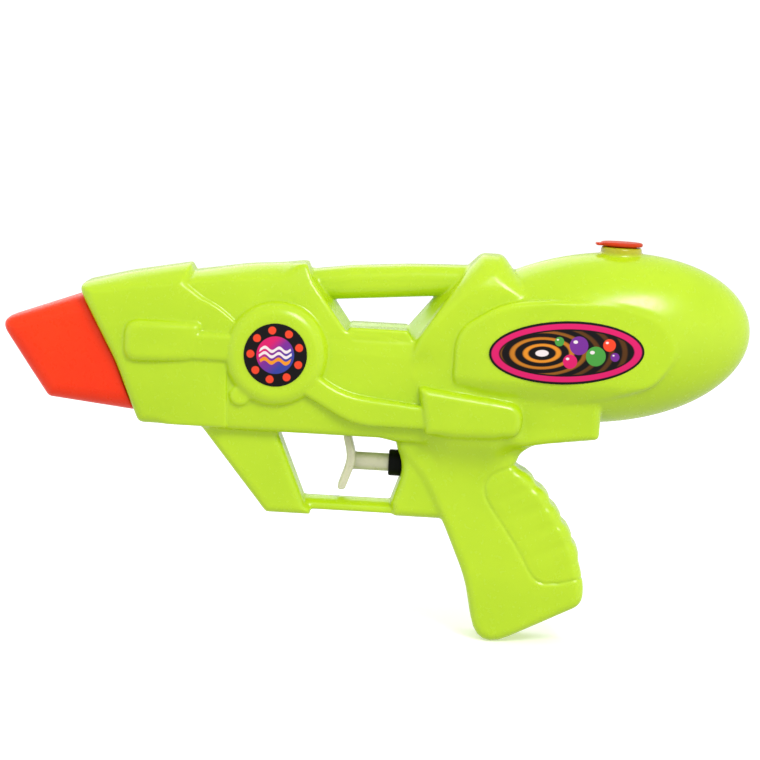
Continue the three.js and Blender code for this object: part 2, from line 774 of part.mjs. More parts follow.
function suctionTube() {
  const route = [
    [VALVE_X, HOSE_BOTTOM],
    [VALVE_X, HOSE_BOTTOM - BARB_LENGTH],
    [VALVE_X, HOSE_BOTTOM - HOSE_STRAIGHT],
    [(VALVE_X + STRAINER_X) / 2, (HOSE_BOTTOM + STRAINER_SEAT) / 2],
    [STRAINER_X, STRAINER_SEAT + STRAINER_HEIGHT + HOSE_STRAIGHT],
    [STRAINER_X, STRAINER_SEAT + STRAINER_HEIGHT],
    [STRAINER_X, STRAINER_SEAT],
  ];
  return solid(hose(route));
}

function suctionStrainer() {
  const profile = [
    [0, STRAINER_PORT],
    [0, STRAINER_RADIUS],
    [STRAINER_HEIGHT, STRAINER_RADIUS],
    [STRAINER_HEIGHT, HOSE_RADIUS + SEAT_GAP],
    [STRAINER_FLOOR, HOSE_RADIUS + SEAT_GAP],
    [STRAINER_FLOOR, STRAINER_PORT],
    [0, STRAINER_PORT],
  ];
  return solid(turned(profile, 'z'));
}

function frontGrommet() {
  return solid(turned(tube(0, GROMMET_LENGTH, HOSE_RADIUS + SEAT_GAP, GROMMET_RADIUS), 'x'));
}

// Push-in plug, measured from the rim of the neck: a disc, a hollow stem and a tab towards the muzzle
function fillerPlug() {
  const stem = NECK_BORE - SEAT_GAP;
  const under = SEAT_GAP;
  const top = under + PLUG_DISC_HEIGHT;
  const profile = [
    [top, 0],
    [top, PLUG_DISC - PLUG_CHAMFER],
    [top - PLUG_CHAMFER, PLUG_DISC],
    [under, PLUG_DISC],
    [under, stem],
    [-PLUG_STEM, stem - PLUG_TAPER],
    [-PLUG_STEM, stem - PLUG_TAPER - PLUG_WALL],
    [under, stem - PLUG_WALL],
    [under, 0],
  ];
  const tab = new THREE.BoxGeometry(PLUG_TAB, PLUG_TAB_WIDTH, PLUG_TAB_HEIGHT);
  const plug = solid(turned(profile.toReversed(), 'z', NECK_SIDES));
  return plug.add(solid(tab.translate(-PLUG_TAB / 2, 0, under + PLUG_TAB_HEIGHT / 2)));
}

// Stickers lie in XZ, facing -Y, with their backs at y = 0.
function roundLabel() {
  return solid(new THREE.CylinderGeometry(ROUND_LABEL, ROUND_LABEL, LABEL_THICKNESS, LABEL_SIDES));
}

function ovalLabel() {
  const oval = new THREE.Shape().absellipse(0, 0, OVAL_LABEL_X, OVAL_LABEL_Z, 0, 2 * Math.PI);
  const sheet = { depth: LABEL_THICKNESS, bevelEnabled: false, curveSegments: LABEL_SIDES / 2 };
  const label = new THREE.ExtrudeGeometry(oval, sheet).rotateX(Math.PI / 2);
  return solid(label.translate(0, LABEL_THICKNESS / 2, 0));
}

const LIME = 0xc8ed3c;
const ORANGE = 0xfc3f14;
const NATURAL = 0xe6e4cf;
const BLACK = 0x0b1102;
const RUBBER = 0x2a2a2a;
const STEEL = 0xb8bcc0;
const CLEAR = 0xdfe6d8;
const PINK = 0xe8327a;

const body = new THREE.Group();
body.add(piece('body_shell', bodyShell(), LIME, 0.35));
body.add(piece('muzzle_tip', muzzleTip(), ORANGE, 0.35));

const jetLine = new THREE.Group();
jetLine.position.z = NOSE_Z;
jetLine.add(piece('nozzle_jet', nozzleJet(), ORANGE));
const grommet = piece('front_grommet', frontGrommet(), RUBBER, 0.8);
grommet.position.x = GROMMET_FRONT_X;
jetLine.add(grommet);

const pump = new THREE.Group();
pump.position.x = COLLAR_FRONT_X;
pump.add(piece('trigger', trigger(), NATURAL, 0.3));
pump.add(piece('pump_collar', pumpCollar(), BLACK, 0.5));
pump.add(piece('pump_cylinder', pumpCylinder(), NATURAL));
pump.add(piece('rod_seal', rodSeal(), RUBBER, 0.8));
pump.add(piece('piston_seal', pistonSeal(), RUBBER, 0.8));
pump.add(piece('return_spring', returnSpring(), STEEL, 0.3));

const valves = new THREE.Group();
valves.position.x = VALVE_X;
valves.add(piece('valve_block', valveBlock(), NATURAL));
valves.add(piece('inlet_seat', valveFitting(INLET_SEAT_Z, BLOCK_BOTTOM, INLET_PORT, -1), NATURAL));
valves.add(piece('inlet_ball', ball(INLET_BALL_Z), STEEL, 0.2));
valves.add(piece('outlet_ball', ball(OUTLET_BALL_Z), STEEL, 0.2));
valves.add(piece('outlet_spring', outletSpring(), STEEL, 0.3));
valves.add(piece('outlet_cap', valveFitting(CAP_Z, BLOCK_TOP, INLET_PORT, 1), NATURAL));

const hoses = new THREE.Group();
hoses.add(piece('delivery_tube', deliveryTube(), CLEAR));
hoses.add(piece('suction_tube', suctionTube(), CLEAR));
const strainer = piece('suction_strainer', suctionStrainer(), NATURAL);
strainer.position.set(STRAINER_X, 0, STRAINER_Z);
hoses.add(strainer);

const plug = piece('filler_plug', fillerPlug(), ORANGE);
plug.position.set(NECK_X, 0, NECK_TOP_Z);

const labels = new THREE.Group();
const LABEL_OFF = LABEL_GAP + LABEL_THICKNESS / 2;
for (const [side, sign] of [['left', -1], ['right', 1]]) {
  const round = piece(`round_label_${side}`, roundLabel(), BLACK, 0.25);
  round.position.set(RING_X, sign * (MID_HALF + RING_RISE + LABEL_OFF), RING_Z);
  const oval = piece(`oval_label_${side}`, ovalLabel(), PINK, 0.25);
  oval.position.set(TANK_X - OVAL_FORWARD, sign * (TANK_FLAT + LABEL_OFF), TANK_Z - OVAL_BELOW);
  oval.rotation.y = -OVAL_TILT;
  labels.add(round, oval);
}

const squirter = new THREE.Group();
squirter.add(body, jetLine, pump, valves, hoses, plug, labels);
const middle = new THREE.Box3().setFromObject(squirter).getCenter(new THREE.Vector3());
squirter.position.copy(middle).negate();

export default squirter;
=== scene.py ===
"""Looks of a toy water squirter: blow-moulded body, orange tip, pump trigger, stopper and stickers.

Side outlines are in millimetres from two datums: x runs back from the tip of the muzzle and z runs up
from the axis of the pump. Meshes are made in metres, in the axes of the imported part.
"""

import math
from typing import NamedTuple

import bmesh
import bpy
import numpy as np
from mathutils import Matrix, Vector


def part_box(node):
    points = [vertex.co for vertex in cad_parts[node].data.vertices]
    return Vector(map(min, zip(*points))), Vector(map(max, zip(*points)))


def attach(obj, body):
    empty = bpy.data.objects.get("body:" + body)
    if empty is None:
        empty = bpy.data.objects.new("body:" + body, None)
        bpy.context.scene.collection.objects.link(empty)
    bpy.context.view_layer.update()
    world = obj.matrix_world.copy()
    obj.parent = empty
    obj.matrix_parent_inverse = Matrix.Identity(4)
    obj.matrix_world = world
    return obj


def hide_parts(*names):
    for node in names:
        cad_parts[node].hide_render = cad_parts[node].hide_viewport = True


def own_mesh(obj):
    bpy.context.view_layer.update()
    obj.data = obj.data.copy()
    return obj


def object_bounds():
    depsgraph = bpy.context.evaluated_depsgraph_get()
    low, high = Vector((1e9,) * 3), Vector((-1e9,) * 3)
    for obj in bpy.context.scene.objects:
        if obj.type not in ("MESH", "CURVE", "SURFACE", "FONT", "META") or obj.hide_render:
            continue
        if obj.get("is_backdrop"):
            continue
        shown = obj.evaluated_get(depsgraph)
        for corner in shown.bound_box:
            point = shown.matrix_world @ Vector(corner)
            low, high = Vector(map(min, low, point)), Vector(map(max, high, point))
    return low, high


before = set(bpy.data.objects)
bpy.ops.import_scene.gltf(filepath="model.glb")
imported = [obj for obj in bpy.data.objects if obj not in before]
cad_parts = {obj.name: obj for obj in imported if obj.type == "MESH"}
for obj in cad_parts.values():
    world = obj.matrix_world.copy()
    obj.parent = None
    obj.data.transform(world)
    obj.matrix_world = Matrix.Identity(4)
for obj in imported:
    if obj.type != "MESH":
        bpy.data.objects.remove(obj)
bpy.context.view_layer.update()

bl_info = {
    "name": "Water squirter",
    "version": (1, 0, 0),
    "blender": (4, 5, 0),
    "location": "View3D > Sidebar > Squirter",
    "description": "Builds the looks of a toy water squirter around its packed solids",
    "category": "Add Mesh",
}

MM = 0.001

# The pump: how far the collar's front is behind the muzzle, then radii and places behind that front
COLLAR_FRONT = 147.7
COLLAR_RADIUS = 4.95
COLLAR_HEAD = 7.8
COLLAR_END = 11.8
COLLAR_BORE = 3.5
COLLAR_SPIGOT = 4.05
ROD_RADIUS = 3.35
ROD_END = 14.5
PIN_RADIUS = 1.8
PIN_END = 18.3
PUMP_HOLE_DEPTH = 24
PUMP_HOLE_LEAD = 5
ROD_SET_IN = 1
ROD_EDGE = 0.3
ROD_FILLET = 0.8
PIN_FILLET = 0.3
COLLAR_PROFILE = [
    (0.0, COLLAR_BORE), (0.0, COLLAR_RADIUS - 0.7), (0.2, COLLAR_RADIUS - 0.2),
    (0.7, COLLAR_RADIUS), (COLLAR_HEAD, COLLAR_RADIUS), (COLLAR_HEAD, COLLAR_SPIGOT),
    (COLLAR_END, COLLAR_SPIGOT), (COLLAR_END, COLLAR_BORE),
]

# The datums' meeting point in the part's axes
COLLAR_LOW, COLLAR_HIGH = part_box("pump_collar")
DATUM = np.array([COLLAR_LOW.x - COLLAR_FRONT * MM, 0, (COLLAR_LOW.z + COLLAR_HIGH.z) / 2])

# Levels, half widths and slopes of the body, the tip and the trigger's bow
UNDERSIDE = 10.6
FRONT_UNDERSIDE = 11.3
GUARD_TOP = -13.9
GUARD_BOTTOM = -18.5
FOOT = -20.3
SILL = 51.9
SHOULDER = 46.8
FRONT_HALF = 17.5
MID_HALF = 16.6
FRAME_PINCH = 1.5
REAR_HALF = 18.5
HANDLE_HALF = 8
STRUT_HALF = 9.5
GUARD_HALF = 6.5
WEB_HALF = 9.5
GRIP_HALF = 13
GRIP_WAIST = 2.2
TIP_HALF = 14
FIN_CREASE = 69.5
FIN_SLOPE = 0.5
FIN_ROUND = 2.5
TOP_EDGE = 8.5
LEDGE = 41.3
LEDGE_SLOPE = 0.16
TAIL_TOP = 34
TAIL_CREASE = 17.3
TAIL_DRAFT = 2.4
TIP_NOSE_HALF = 8.5
TIP_EDGE_SHARE = 0.6
TIP_SEAT_EDGE = 3
BOW_HALF = 6
BOW_EDGE = 0.9
CROWN = 3.4
CROWN_MIDDLE = 38
CROWN_REACH = 30
FRAME_INSET = 0.3
FRAME_DRAFTS = (4.7, 2.8)
PANEL_FRONT_HALF = 20.6
PANEL_DIP = 6
PILL_RISES = (3, 2)
GUARD_FLANK = 1.5
GUARD_ROUND = 4

# Zones of the side view over which a width or an edge changes, as (from, to): first along, then up
STEP_ZONE = (60, 68)
PILL_ZONE = (58, 75)
CREST_ZONE = (103, 112)
LEDGE_ZONE = (118, 128)
DRAFT_ZONE = (138, 150)
SADDLE_FRONT_ZONE = (153, 172)
COVE_FRONT_ZONE = (157, 171)
GRIP_FRONT_ZONE = (158, 164)
PANEL_FRONT_ZONE = (168, 186)
COVE_BACK_ZONE = (184, 196)
TAIL_ZONE = (190, 198)
GRIP_ZONE = (-48, 2)
GRIP_TOP_ZONE = (16, 28)
FLANK_ZONE = (20, 40)
PANEL_LOW_ZONE = (25, 37)
REAR_ZONE = (25, 50)
SADDLE_LOW_ZONE = (38, 48)
FIN_ZONE = (50, 76)
FRONT_TOP_ZONE = (54, 67)
MID_TOP_ZONE = (60, 71)

# Rounding of edges, and reach of the fillets where forms meet
FRONT_EDGE = 3.5
STEP_EDGE = 0.9
MID_EDGES = (2.4, 1)
FRAME_EDGE = 0.7
SILL_EDGE = 1
REAR_EDGES = (3, 2.4)
FIN_EDGE = 5.4
OVER_GRIP_EDGE = 4
PANEL_EDGE = 2.2
PILL_EDGE = 3.4
RING_EDGE = 5.5
NUB_EDGE = 2
GUARD_EDGE = 1.2
GRIP_EDGE = 3.4
NECK_EDGE = 0.6
STEP_FILLET = 0.15
FRAME_FILLET = 0.6
REAR_FILLET = 1
PANEL_FILLET = 0.8
RING_FILLET = 0.3
NUB_FILLET = 1
GUARD_FILLET = 1.2
COVE_FRONT = (0.8, 15)
COVE_BACK = (15, 2.5)
NECK_FILLET = 0.7
HOLLOW_FILLET = 3
TANK_FLAT_ROUND = 0.7
CUT_ROUND = 0.3

# Grids: margins around a node, and the stretches of the body, first along and then up, that are finer
MARGIN = 2.0
SMALL_MARGIN = 1.0
FINE_STEP = 0.4
STEP_STRETCH = (64, 92)
GRIP_STRETCH = (150, 226)
GRIP_RISE = (-68, 8)
RAISED_RISES = [(20, 36), (44, 70)]

# Tank, neck, ring and jet
TANK_CENTRE = (221.7, 51.3)
TANK_HALVES = (57.8, 25.7, 31.6)
TANK_TILT = math.radians(6.5)
TANK_FLAT = 23
TANK_SWELL = 0.04
NECK_X = 229.5
NECK_TOP = 85.7
NECK_RADIUS = 7.5
NECK_BORE = 5.8
NECK_TOOL_RISE = 9
NECK_GLOW_RISE = (-4, -1.5)
NECK_GLOW_REACH = (0.1, 1.2)
RING_CENTRE = (104, 40)
RING_RADIUS = 19.4
RING_TOP = 20.5
NUB_CENTRE = (91.6, 24)
NUB_RADIUS = 4
NUB_TOP = 18
NOSE_Z = 43.1
JET_HOLE = 2.4
JET_HOLE_END = 6.6
JET_PROFILE = [
    (2.9, 0.75), (2.6, 1.0), (2.6, 1.8), (2.9, 2.1), (5.2, 2.1), (5.2, 3.0), (6.4, 3.0), (6.4, 1.3),
    (11.4, 1.3), (11.4, 0.75),
]
SEAT_GAP = 0.3
SMOOTH_ANGLE = math.radians(40)

# The filler plug: radii, lengths and edges
PLUG_HEAD = 7.8
PLUG_HEAD_THICK = 1.5
PLUG_HEAD_EDGE = 0.7
PLUG_STEM = 8
PLUG_STEM_INTO_HEAD = 0.6
PLUG_STEM_EDGE = 0.4
PLUG_STEM_FILLET = 0.4
PLUG_WALL = 1.7
PLUG_BORE = 12
PLUG_TAB = 9.6
PLUG_TAB_THICK = 0.9
PLUG_TAB_HALF = 3
PLUG_TAB_EDGE = 0.3
PLUG_TAB_FILLET = 0.5

# Springs: node, joint, axis, turns and radius of the wire
SPRINGS = [
    ("return_spring", "trigger_slide", 0, 7, 0.4),
    ("outlet_spring", "outlet_ball_lift", 2, 3, 0.25),
]
COIL_POINTS = 40
FLAT_TURNS = 0.75
WIRE_ANGLE = math.radians(60)

# Stage, in metres: each softbox as its place and its size
FLOOR_REACH = 4.0
BACKDROP_SHARE = 0.98
BACKDROP_SIDES = 64
NEAR_BOX = ((0.36, -0.86, 0.78), (0.38, 0.38))
FAR_BOX = ((-0.36, 0.86, 0.78), (1.0, 1.0))
UP_ZONE = (0.05, 0.9)
DOWN_ZONE = (-0.7, -0.05)
AHEAD_ZONE = (0.8, 0.97)
SENSOR = 36
NEAREST = 0.01


def linear(red, green, blue):
    """A colour given as 8-bit sRGB, as the linear values that shaders take."""
    parts = [value / 255 for value in (red, green, blue)]
    return [part / 12.92 if part <= 0.04045 else ((part + 0.055) / 1.055) ** 2.4 for part in parts]


# Settings that a user would change


def length_setting(name, description, default):
    """A length in metres that a user would change."""
    return bpy.props.FloatProperty(name=name, description=description, default=default, unit="LENGTH")


def colour_setting(name, description, red, green, blue):
    """A colour that a user would change, given as 8-bit sRGB."""
    return bpy.props.FloatVectorProperty(
        name=name, description=description, default=linear(red, green, blue), subtype="COLOR"
    )


def angle_setting(name, description, degrees):
    """An angle that a user would change."""
    return bpy.props.FloatProperty(
        name=name, description=description, default=math.radians(degrees), subtype="ANGLE"
    )


def light_setting(name, description, default, **kind):
    """A strength or power of light that a user would change."""
    return bpy.props.FloatProperty(name=name, description=description, default=default, **kind)


class SquirterSizes(bpy.types.PropertyGroup):
    """Sizes of the moulded surfaces."""

    body_step: length_setting("Body step", "Spacing of the points on the body's surface", 0.0008)
    grip_step: length_setting("Grip step", "Spacing of the points on the grip", 0.0005)
    small_step: length_setting("Small step", "Spacing of the points on the trigger and the plug", 0.0003)
    tip_step: length_setting("Tip step", "Spacing of the points on the muzzle tip", 0.0006)
    wall: length_setting("Wall", "Thickness of the blown wall", 0.0018)
    seam: length_setting(
        "Parting line", "Height of the line that the mould leaves around the middle", 0.0001
    )
    ridge: length_setting("Grip ridges", "Height of the ridges on the back of the grip", 0.00085)
    groove: length_setting("Grip groove", "Depth of the line around the ridged pad of the grip", 0.0006)


class SquirterColours(bpy.types.PropertyGroup):
    """Colours of the plastics and of the prints."""

    lime: colour_setting("Body", "Yellow-green of the body", 180, 212, 22)
    lime_deep: colour_setting("Body, thick", "Body where the wall is thick", 174, 207, 18)
    neck: colour_setting("Neck", "Neck, where the stopper shows through", 174, 170, 6)
    orange: colour_setting("Tip", "Orange of the muzzle tip", 243, 56, 2)
    orange_deep: colour_setting("Tip, thick", "Tip where the wall is thick", 236, 48, 1)
    natural: colour_setting("Trigger", "Uncoloured plastic", 200, 199, 170)
    stopper: colour_setting("Plug", "Orange of the filler plug", 198, 55, 3)
    black: colour_setting("Collar", "Black of the collar", 5, 7, 4)
    print_black: colour_setting("Print, black", "Black of the stickers", 16, 12, 14)
    print_red: colour_setting("Print, red", "Dots of the round stickers", 226, 66, 38)
    print_pink: colour_setting("Print, pink", "Border of the oval stickers", 206, 28, 98)
    print_violet: colour_setting("Print, violet", "Violet of both stickers", 112, 44, 140)
    print_blue: colour_setting("Print, blue", "Blue of the round stickers", 52, 62, 148)
    print_green: colour_setting("Print, green", "Green of the oval stickers", 70, 148, 62)
    print_gold: colour_setting("Print, gold", "Ripples and waves", 226, 140, 38)
    print_pale: colour_setting("Print, pale", "Pale waves and glints", 226, 214, 214)


class SquirterView(bpy.types.PropertyGroup):
    """Camera and light."""

    elevation: angle_setting("Elevation", "Height of the camera above the side view", 6.5)
    roll: angle_setting("Roll", "Turn of the camera about its view", 3.35)
    distance: length_setting("Distance", "Camera to the middle of the toy", 0.985)
    lens: bpy.props.FloatProperty(
        name="Lens", description="Focal length on a 36 mm sensor", default=124.8, unit="CAMERA"
    )
    aim: bpy.props.FloatVectorProperty(
        name="Aim",
        description="Point in the middle of the picture",
        subtype="XYZ",
        default=(0.0027, 0, 0.0195),
    )
    sky: light_setting("Sky", "Strength of the surround straight up", 0.84)
    horizon: light_setting("Horizon", "Strength of the surround level", 1.2)
    below: light_setting("Below", "Strength of the surround straight down", 0.76)
    front: light_setting(
        "Front", "Share of the surround's light that comes straight at the sides", 0.68, subtype="FACTOR"
    )
    key: light_setting("Key", "Power of the near softbox", 7.4, unit="POWER")
    far_key: light_setting("Far key", "Power of the far softbox", 4.0, unit="POWER")


class SquirterSettings(bpy.types.PropertyGroup):
    """All settings of the squirter."""

    sizes: bpy.props.PointerProperty(
        type=SquirterSizes, name="Sizes", description="Sizes of the moulded surfaces"
    )
    colours: bpy.props.PointerProperty(
        type=SquirterColours, name="Colours", description="Colours of the plastics and of the prints"
    )
    view: bpy.props.PointerProperty(type=SquirterView, name="View", description="Camera and light")


# Outlines of the side view: corners are (x, z, radius)

FRONT_BLOCK = [
    (29.6, 61.2, 3), (48.6, 66.4, 60), (70.6, 70.8, 1.2), (73.4, 65.6, 3), (77, 60.2, 8),
    (90.4, 49.9, 4), (86.4, 32, 6), (87.4, FRONT_UNDERSIDE, 1), (54.4, FRONT_UNDERSIDE, 3),
    (45.2, 33.5, 60),
]
MID_BLOCK = [
    (62, 62, 0), (72, 68, 0.5), (92, 71.6, 80), (113.6, 73.4, 1), (116.6, 66.4, 4),
    (131.6, SHOULDER, 5), (166, SHOULDER, 0), (166, UNDERSIDE - 1.2, 0), (150, UNDERSIDE - 1.2, 0),
    (144, UNDERSIDE, 0), (80, UNDERSIDE, 0), (62, 20, 0),
]
FRAME_BLOCK = [
    (106, 70, 0), (116, 71.2, 2), (124, 60.6, 0), (130.4, SILL, 0.5), (152.2, SILL, 0.5),
    (161.8, 64, 0), (168, 72, 0), (178, 72, 0), (178, 38, 0), (106, 38, 0),
]
SILL_BLOCK = [(130.8, SILL - 0.7, 0), (151.8, SILL - 0.7, 0), (160, 40, 0), (122, 40, 0)]
HANDLE_BAR = [
    (108, 69.8, 0), (130, 73, 60), (152, 74.8, 60), (182, 75.9, 0), (182, 65.5, 0), (160, 63.5, 20),
    (108, 58.9, 0),
]
SADDLE_BLOCK = [
    (163, UNDERSIDE, 0), (163, 18, 0), (153, 34, 0), (153, 42, 0), (156.4, 49.8, 6),
    (173.2, 75.2, 8), (177.9, 80.2, 4), (185.8, 80.2, 4), (191.6, 72.6, 5), (210, 56, 0),
    (210, 13, 0), (188, UNDERSIDE, 0),
]
TAIL_BLOCK = [
    (160, 38, 0), (224.8, 38, 0), (224.8, 14.8, 2.2), (206, 12.2, 30), (192, 9.6, 0),
    (160, UNDERSIDE, 0),
]
STRUT = [
    (66, 24, 0), (103, FOOT, 2), (119.5, FOOT, 0.5), (119.5, GUARD_BOTTOM + 0.6, 0),
    (117.6, -16.6, 0), (100, 24, 0),
]
GUARD_BAR = [(108, GUARD_TOP, 0), (154, GUARD_TOP, 0), (154, GUARD_BOTTOM, 0), (108, GUARD_BOTTOM, 0)]
WEB = [
    (149.2, UNDERSIDE + 2, 0), (150, 8.9, 0), (153.4, -1.2, 14), (149.3, GUARD_TOP, 0.6),
    (150.6, -19.1, 1.6), (172, -19.1, 0), (180, -14, 0), (176, UNDERSIDE + 2, 0),
]
GRIP = [
    (150.6, UNDERSIDE + 6, 0), (150.8, 6.6, 4), (160.4, -4.6, 25), (169.4, -20.5, 60),
    (178.6, -40.6, 60), (184.4, -67.7, 11), (222.9, -48, 10), (223.1, -40, 25), (217.7, -23.6, 40),
    (206.2, -6.9, 40), (194.8, 2.8, 2), (196.2, 6.9, 5), (201, 11, 8), (211.7, 14, 0),
    (211.7, UNDERSIDE + 15, 0),
]
GRIP_PAD = [
    (203, 6.6, 0), (179.6, -3.4, 9.2), (196.4, -26.4, 60), (205, -40.6, 7), (214, -39.9, 12),
    (232, -35, 0), (232, 6.6, 0),
]
TIP = [(0.2, 45.6, 4.5), (12.6, 28.2, 24), (19.9, 18.2, 2.8), (58, 14.6, 0), (58, 66.6, 0), (29, 56.5, 0)]
TIP_BACK = 53.4
FRONT_PILL = [(47.9, 34, 6), (73.6, 35.2, 4), (77.2, 50.3, 3), (47.9, 50.1, 6)]
FRONT_BAND = [(70, 36, 0), (94, 36, 0), (94, 46.8, 0), (70, 46.8, 0)]
REAR_PILL = [(157, 31.4, 1.5), (160.4, 13.6, 1.5), (195.8, 14.2, 7), (195.8, 26.9, 8)]
PANEL = [
    (169.2, 25, 0), (169.2, 53, 14), (186, 64, 30), (204, 66.2, 40), (226, 66.6, 40), (244, 62, 16),
    (253, 50, 14), (243, 36, 16), (226, 29.6, 30), (205, 25, 0),
]
SWOOP = [(106, 46, 0), (126.6, 27, 34), (166, 23.4, 0), (166, 15.4, 0), (134, 15.3, 30), (110, 28.4, 0)]
BOW = [
    (130.2, UNDERSIDE - 0.5, 0.8), (132.6, 1, 16), (128.9, -10.5, 1.4), (131.9, -10.5, 1.4),
    (135.8, 1, 12), (133.1, UNDERSIDE - 0.5, 0.8),
]
CORNER_STEPS = 6
EDGE_SHARE = 0.48

# The ridges run from the back of the grip down towards the muzzle
RIDGE_TOP = (200.9, -1)
RIDGE_BOTTOM = (219.9, -27.8)
RIDGE_COUNT = 5
RIDGE_RUN = (-13, -5.6)
RIDGE_OUT = (3, 1.3)
RIDGE_HALF = 4
RIDGE_CORE = 1
RIDGE_REACH = 11
RIDGE_FAR_SHARE = 0.35
RIDGE_FLAT = 1.2
RIDGE_SIDE_ZONE = (5, 11)
RIDGE_SIDE_SHARE = 0.5
PAD_RISE = 0.2
PAD_SLOPE = 4
GROOVE_HALF = 0.45


class Form(NamedTuple):
    """A slab of the body: its outline, half width and edge, and the reach of its fillet."""

    outline: list
    half: float
    edge: float
    reach: float


HANDLE = Form(HANDLE_BAR, HANDLE_HALF, 5, 1.2)
GUARD_STRUT = Form(STRUT, STRUT_HALF, 3, 2)
GRIP_WEB = Form(WEB, WEB_HALF, 3.5, 1.2)
RAISED = [
    Form(FRONT_BAND, FRONT_HALF + 1.8, 2.4, 0.8),
    Form(SWOOP, MID_HALF + 2.8, 2, 0.5),
    Form(REAR_PILL, REAR_HALF + 2.8, 3.2, 0.8),
]

# Prints, in millimetres of the stickers' faces
PRINT_SOFT = 0.12
ROUND_HALVES = (11.6, 11.6)
ROUND_DOTS = 9
ROUND_DOT_RING = 9.1
ROUND_DOT = 1.45
ROUND_MIDDLE = 6.9
ROUND_RIM = 0.9
ROUND_BLEND = 7
WAVE_HEIGHT = 0.7
WAVE_LENGTH = 5.2
ROUND_WAVES = [
    (2.0, 0.55, "print_pale"),
    (0.0, 0.55, "print_pale"),
    (-2.2, 0.7, "print_gold"),
]
OVAL_HALVES = (28.3, 11.6)
OVAL_TILT = math.radians(4)
OVAL_RIM = (0.9, 0.9)
OVAL_BORDER = (3.6, 2.9)
OVAL_INNER = (4.2, 3.5)
RIPPLE_X = -9
RIPPLE_SQUEEZE = 0.5
RIPPLE_RATE = 2.6
RIPPLE_EYE = (2.4, 1.2)
RIPPLE_BAND = (-0.2, 0.9)
RIPPLE_FADE = (1.0, 11.0)
RIPPLE_FAR_SHARE = 0.1
GLINT_PLACE = (-0.35, 0.4)
GLINT_HALVES = (0.24, 0.18)
OVAL_BUBBLES = [
    (4.5, 2.6, 3.4, "print_violet"),
    (10.6, -1.4, 3.6, "print_green"),
    (1.2, -3.2, 2.6, "print_pink"),
    (15.6, 2.6, 2.3, "print_red"),
    (17.6, -1.8, 1.6, "print_violet"),
    (-2.6, 4.2, 1.7, "print_green"),
]
STICKER_SIDES = 96
STICKER_BEVEL = 0.4


# Distance fields


def spread(low, high, step, fine=()):
    """Places from low to high, a step apart, or closer within the stretches given as (start, end, step)."""
    parts = []
    for start, end, small in fine:
        parts += [np.arange(low, start, step), np.arange(start, end, small)]
        low = end
    return np.concatenate([*parts, np.arange(low, high + step, step)])


class Grid:
    """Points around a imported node, in datum millimetres, across from just short of the middle."""

    def __init__(self, node, step, margin=MARGIN, fine_x=(), fine_z=()):
        low, high = [(np.array(corner) - DATUM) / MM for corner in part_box(node)]
        self.step = step
        self.x = spread(low[0] - margin, high[0] + margin, step, fine_x)
        self.y = spread(-step / 2, high[1] + margin, step)
        self.z = spread(low[2] - margin, high[2] + margin, step, fine_z)
        self.flat_x, self.flat_z = np.meshgrid(self.x, self.z, indexing="ij")
        self.across = self.y[None, :, None]

    def counts(self, places):
        """Places as counts of grid points along each axis."""
        axes = (self.x, self.y, self.z)
        return np.stack([np.interp(places[:, i], a, np.arange(len(a))) for i, a in enumerate(axes)], axis=1)

    def places(self, counts):
        """Counts of grid points along each axis as places."""
        axes = (self.x, self.y, self.z)
        return np.stack([np.interp(counts[:, i], np.arange(len(a)), a) for i, a in enumerate(axes)], axis=1)


def rounded(outline):
    """Points of a closed outline, with its corners rounded."""
    corners = np.array([corner[:2] for corner in outline], float)
    points = []
    for i, (_, _, radius) in enumerate(outline):
        corner = corners[i]
        back = corners[i - 1] - corner
        on = corners[(i + 1) % len(corners)] - corner
        if not radius:
            points.append(corner)
            continue
        lengths = np.linalg.norm(back), np.linalg.norm(on)
        half = math.acos(np.clip(back @ on / (lengths[0] * lengths[1]), -1, 1)) / 2
        reach = min(radius / math.tan(half), EDGE_SHARE * min(lengths))
        start, end = corner + back / lengths[0] * reach, corner + on / lengths[1] * reach
        for t in np.linspace(0, 1, CORNER_STEPS + 1):
            points.append((1 - t) ** 2 * start + 2 * t * (1 - t) * corner + t * t * end)
    return np.array(points)


def segment_distance(x, z, start, end):
    """Distance of points from one straight line."""
    (ax, az), (bx, bz) = start, end
    along_x, along_z = bx - ax, bz - az
    share = ((x - ax) * along_x + (z - az) * along_z) / (along_x**2 + along_z**2)
    share = np.clip(share, 0, 1)
    return np.hypot(x - ax - share * along_x, z - az - share * along_z)


def outline_distance(grid, outline):
    """Distance from an outline over the side view, less than zero inside it."""
    points = rounded(outline)
    x, z = grid.flat_x, grid.flat_z
    distance = np.full(x.shape, np.inf)
    inside = np.zeros(x.shape, bool)
    for start, end in zip(points, np.roll(points, -1, axis=0)):
        distance = np.minimum(distance, segment_distance(x, z, start, end))
        if start[1] != end[1]:
            crossing = start[0] + (z - start[1]) * (end[0] - start[0]) / (end[1] - start[1])
            inside ^= ((start[1] > z) != (end[1] > z)) & (x < crossing)
    return np.where(inside, -distance, distance)


def over_width(value):
    """A value of the side view, or one number, ready to be used across the toy."""
    return value[:, None, :] if isinstance(value, np.ndarray) and value.ndim == 2 else value


def slab(grid, flat, half, edge):
    """A side view made `half` thick each way, with its edges rounded."""
    edge = over_width(edge)
    side = over_width(flat) + edge
    face = np.abs(grid.across) - over_width(half) + edge
    corner = np.hypot(np.maximum(side, 0), np.maximum(face, 0))
    return (corner + np.minimum(np.maximum(side, face), 0) - edge).astype(np.float32)


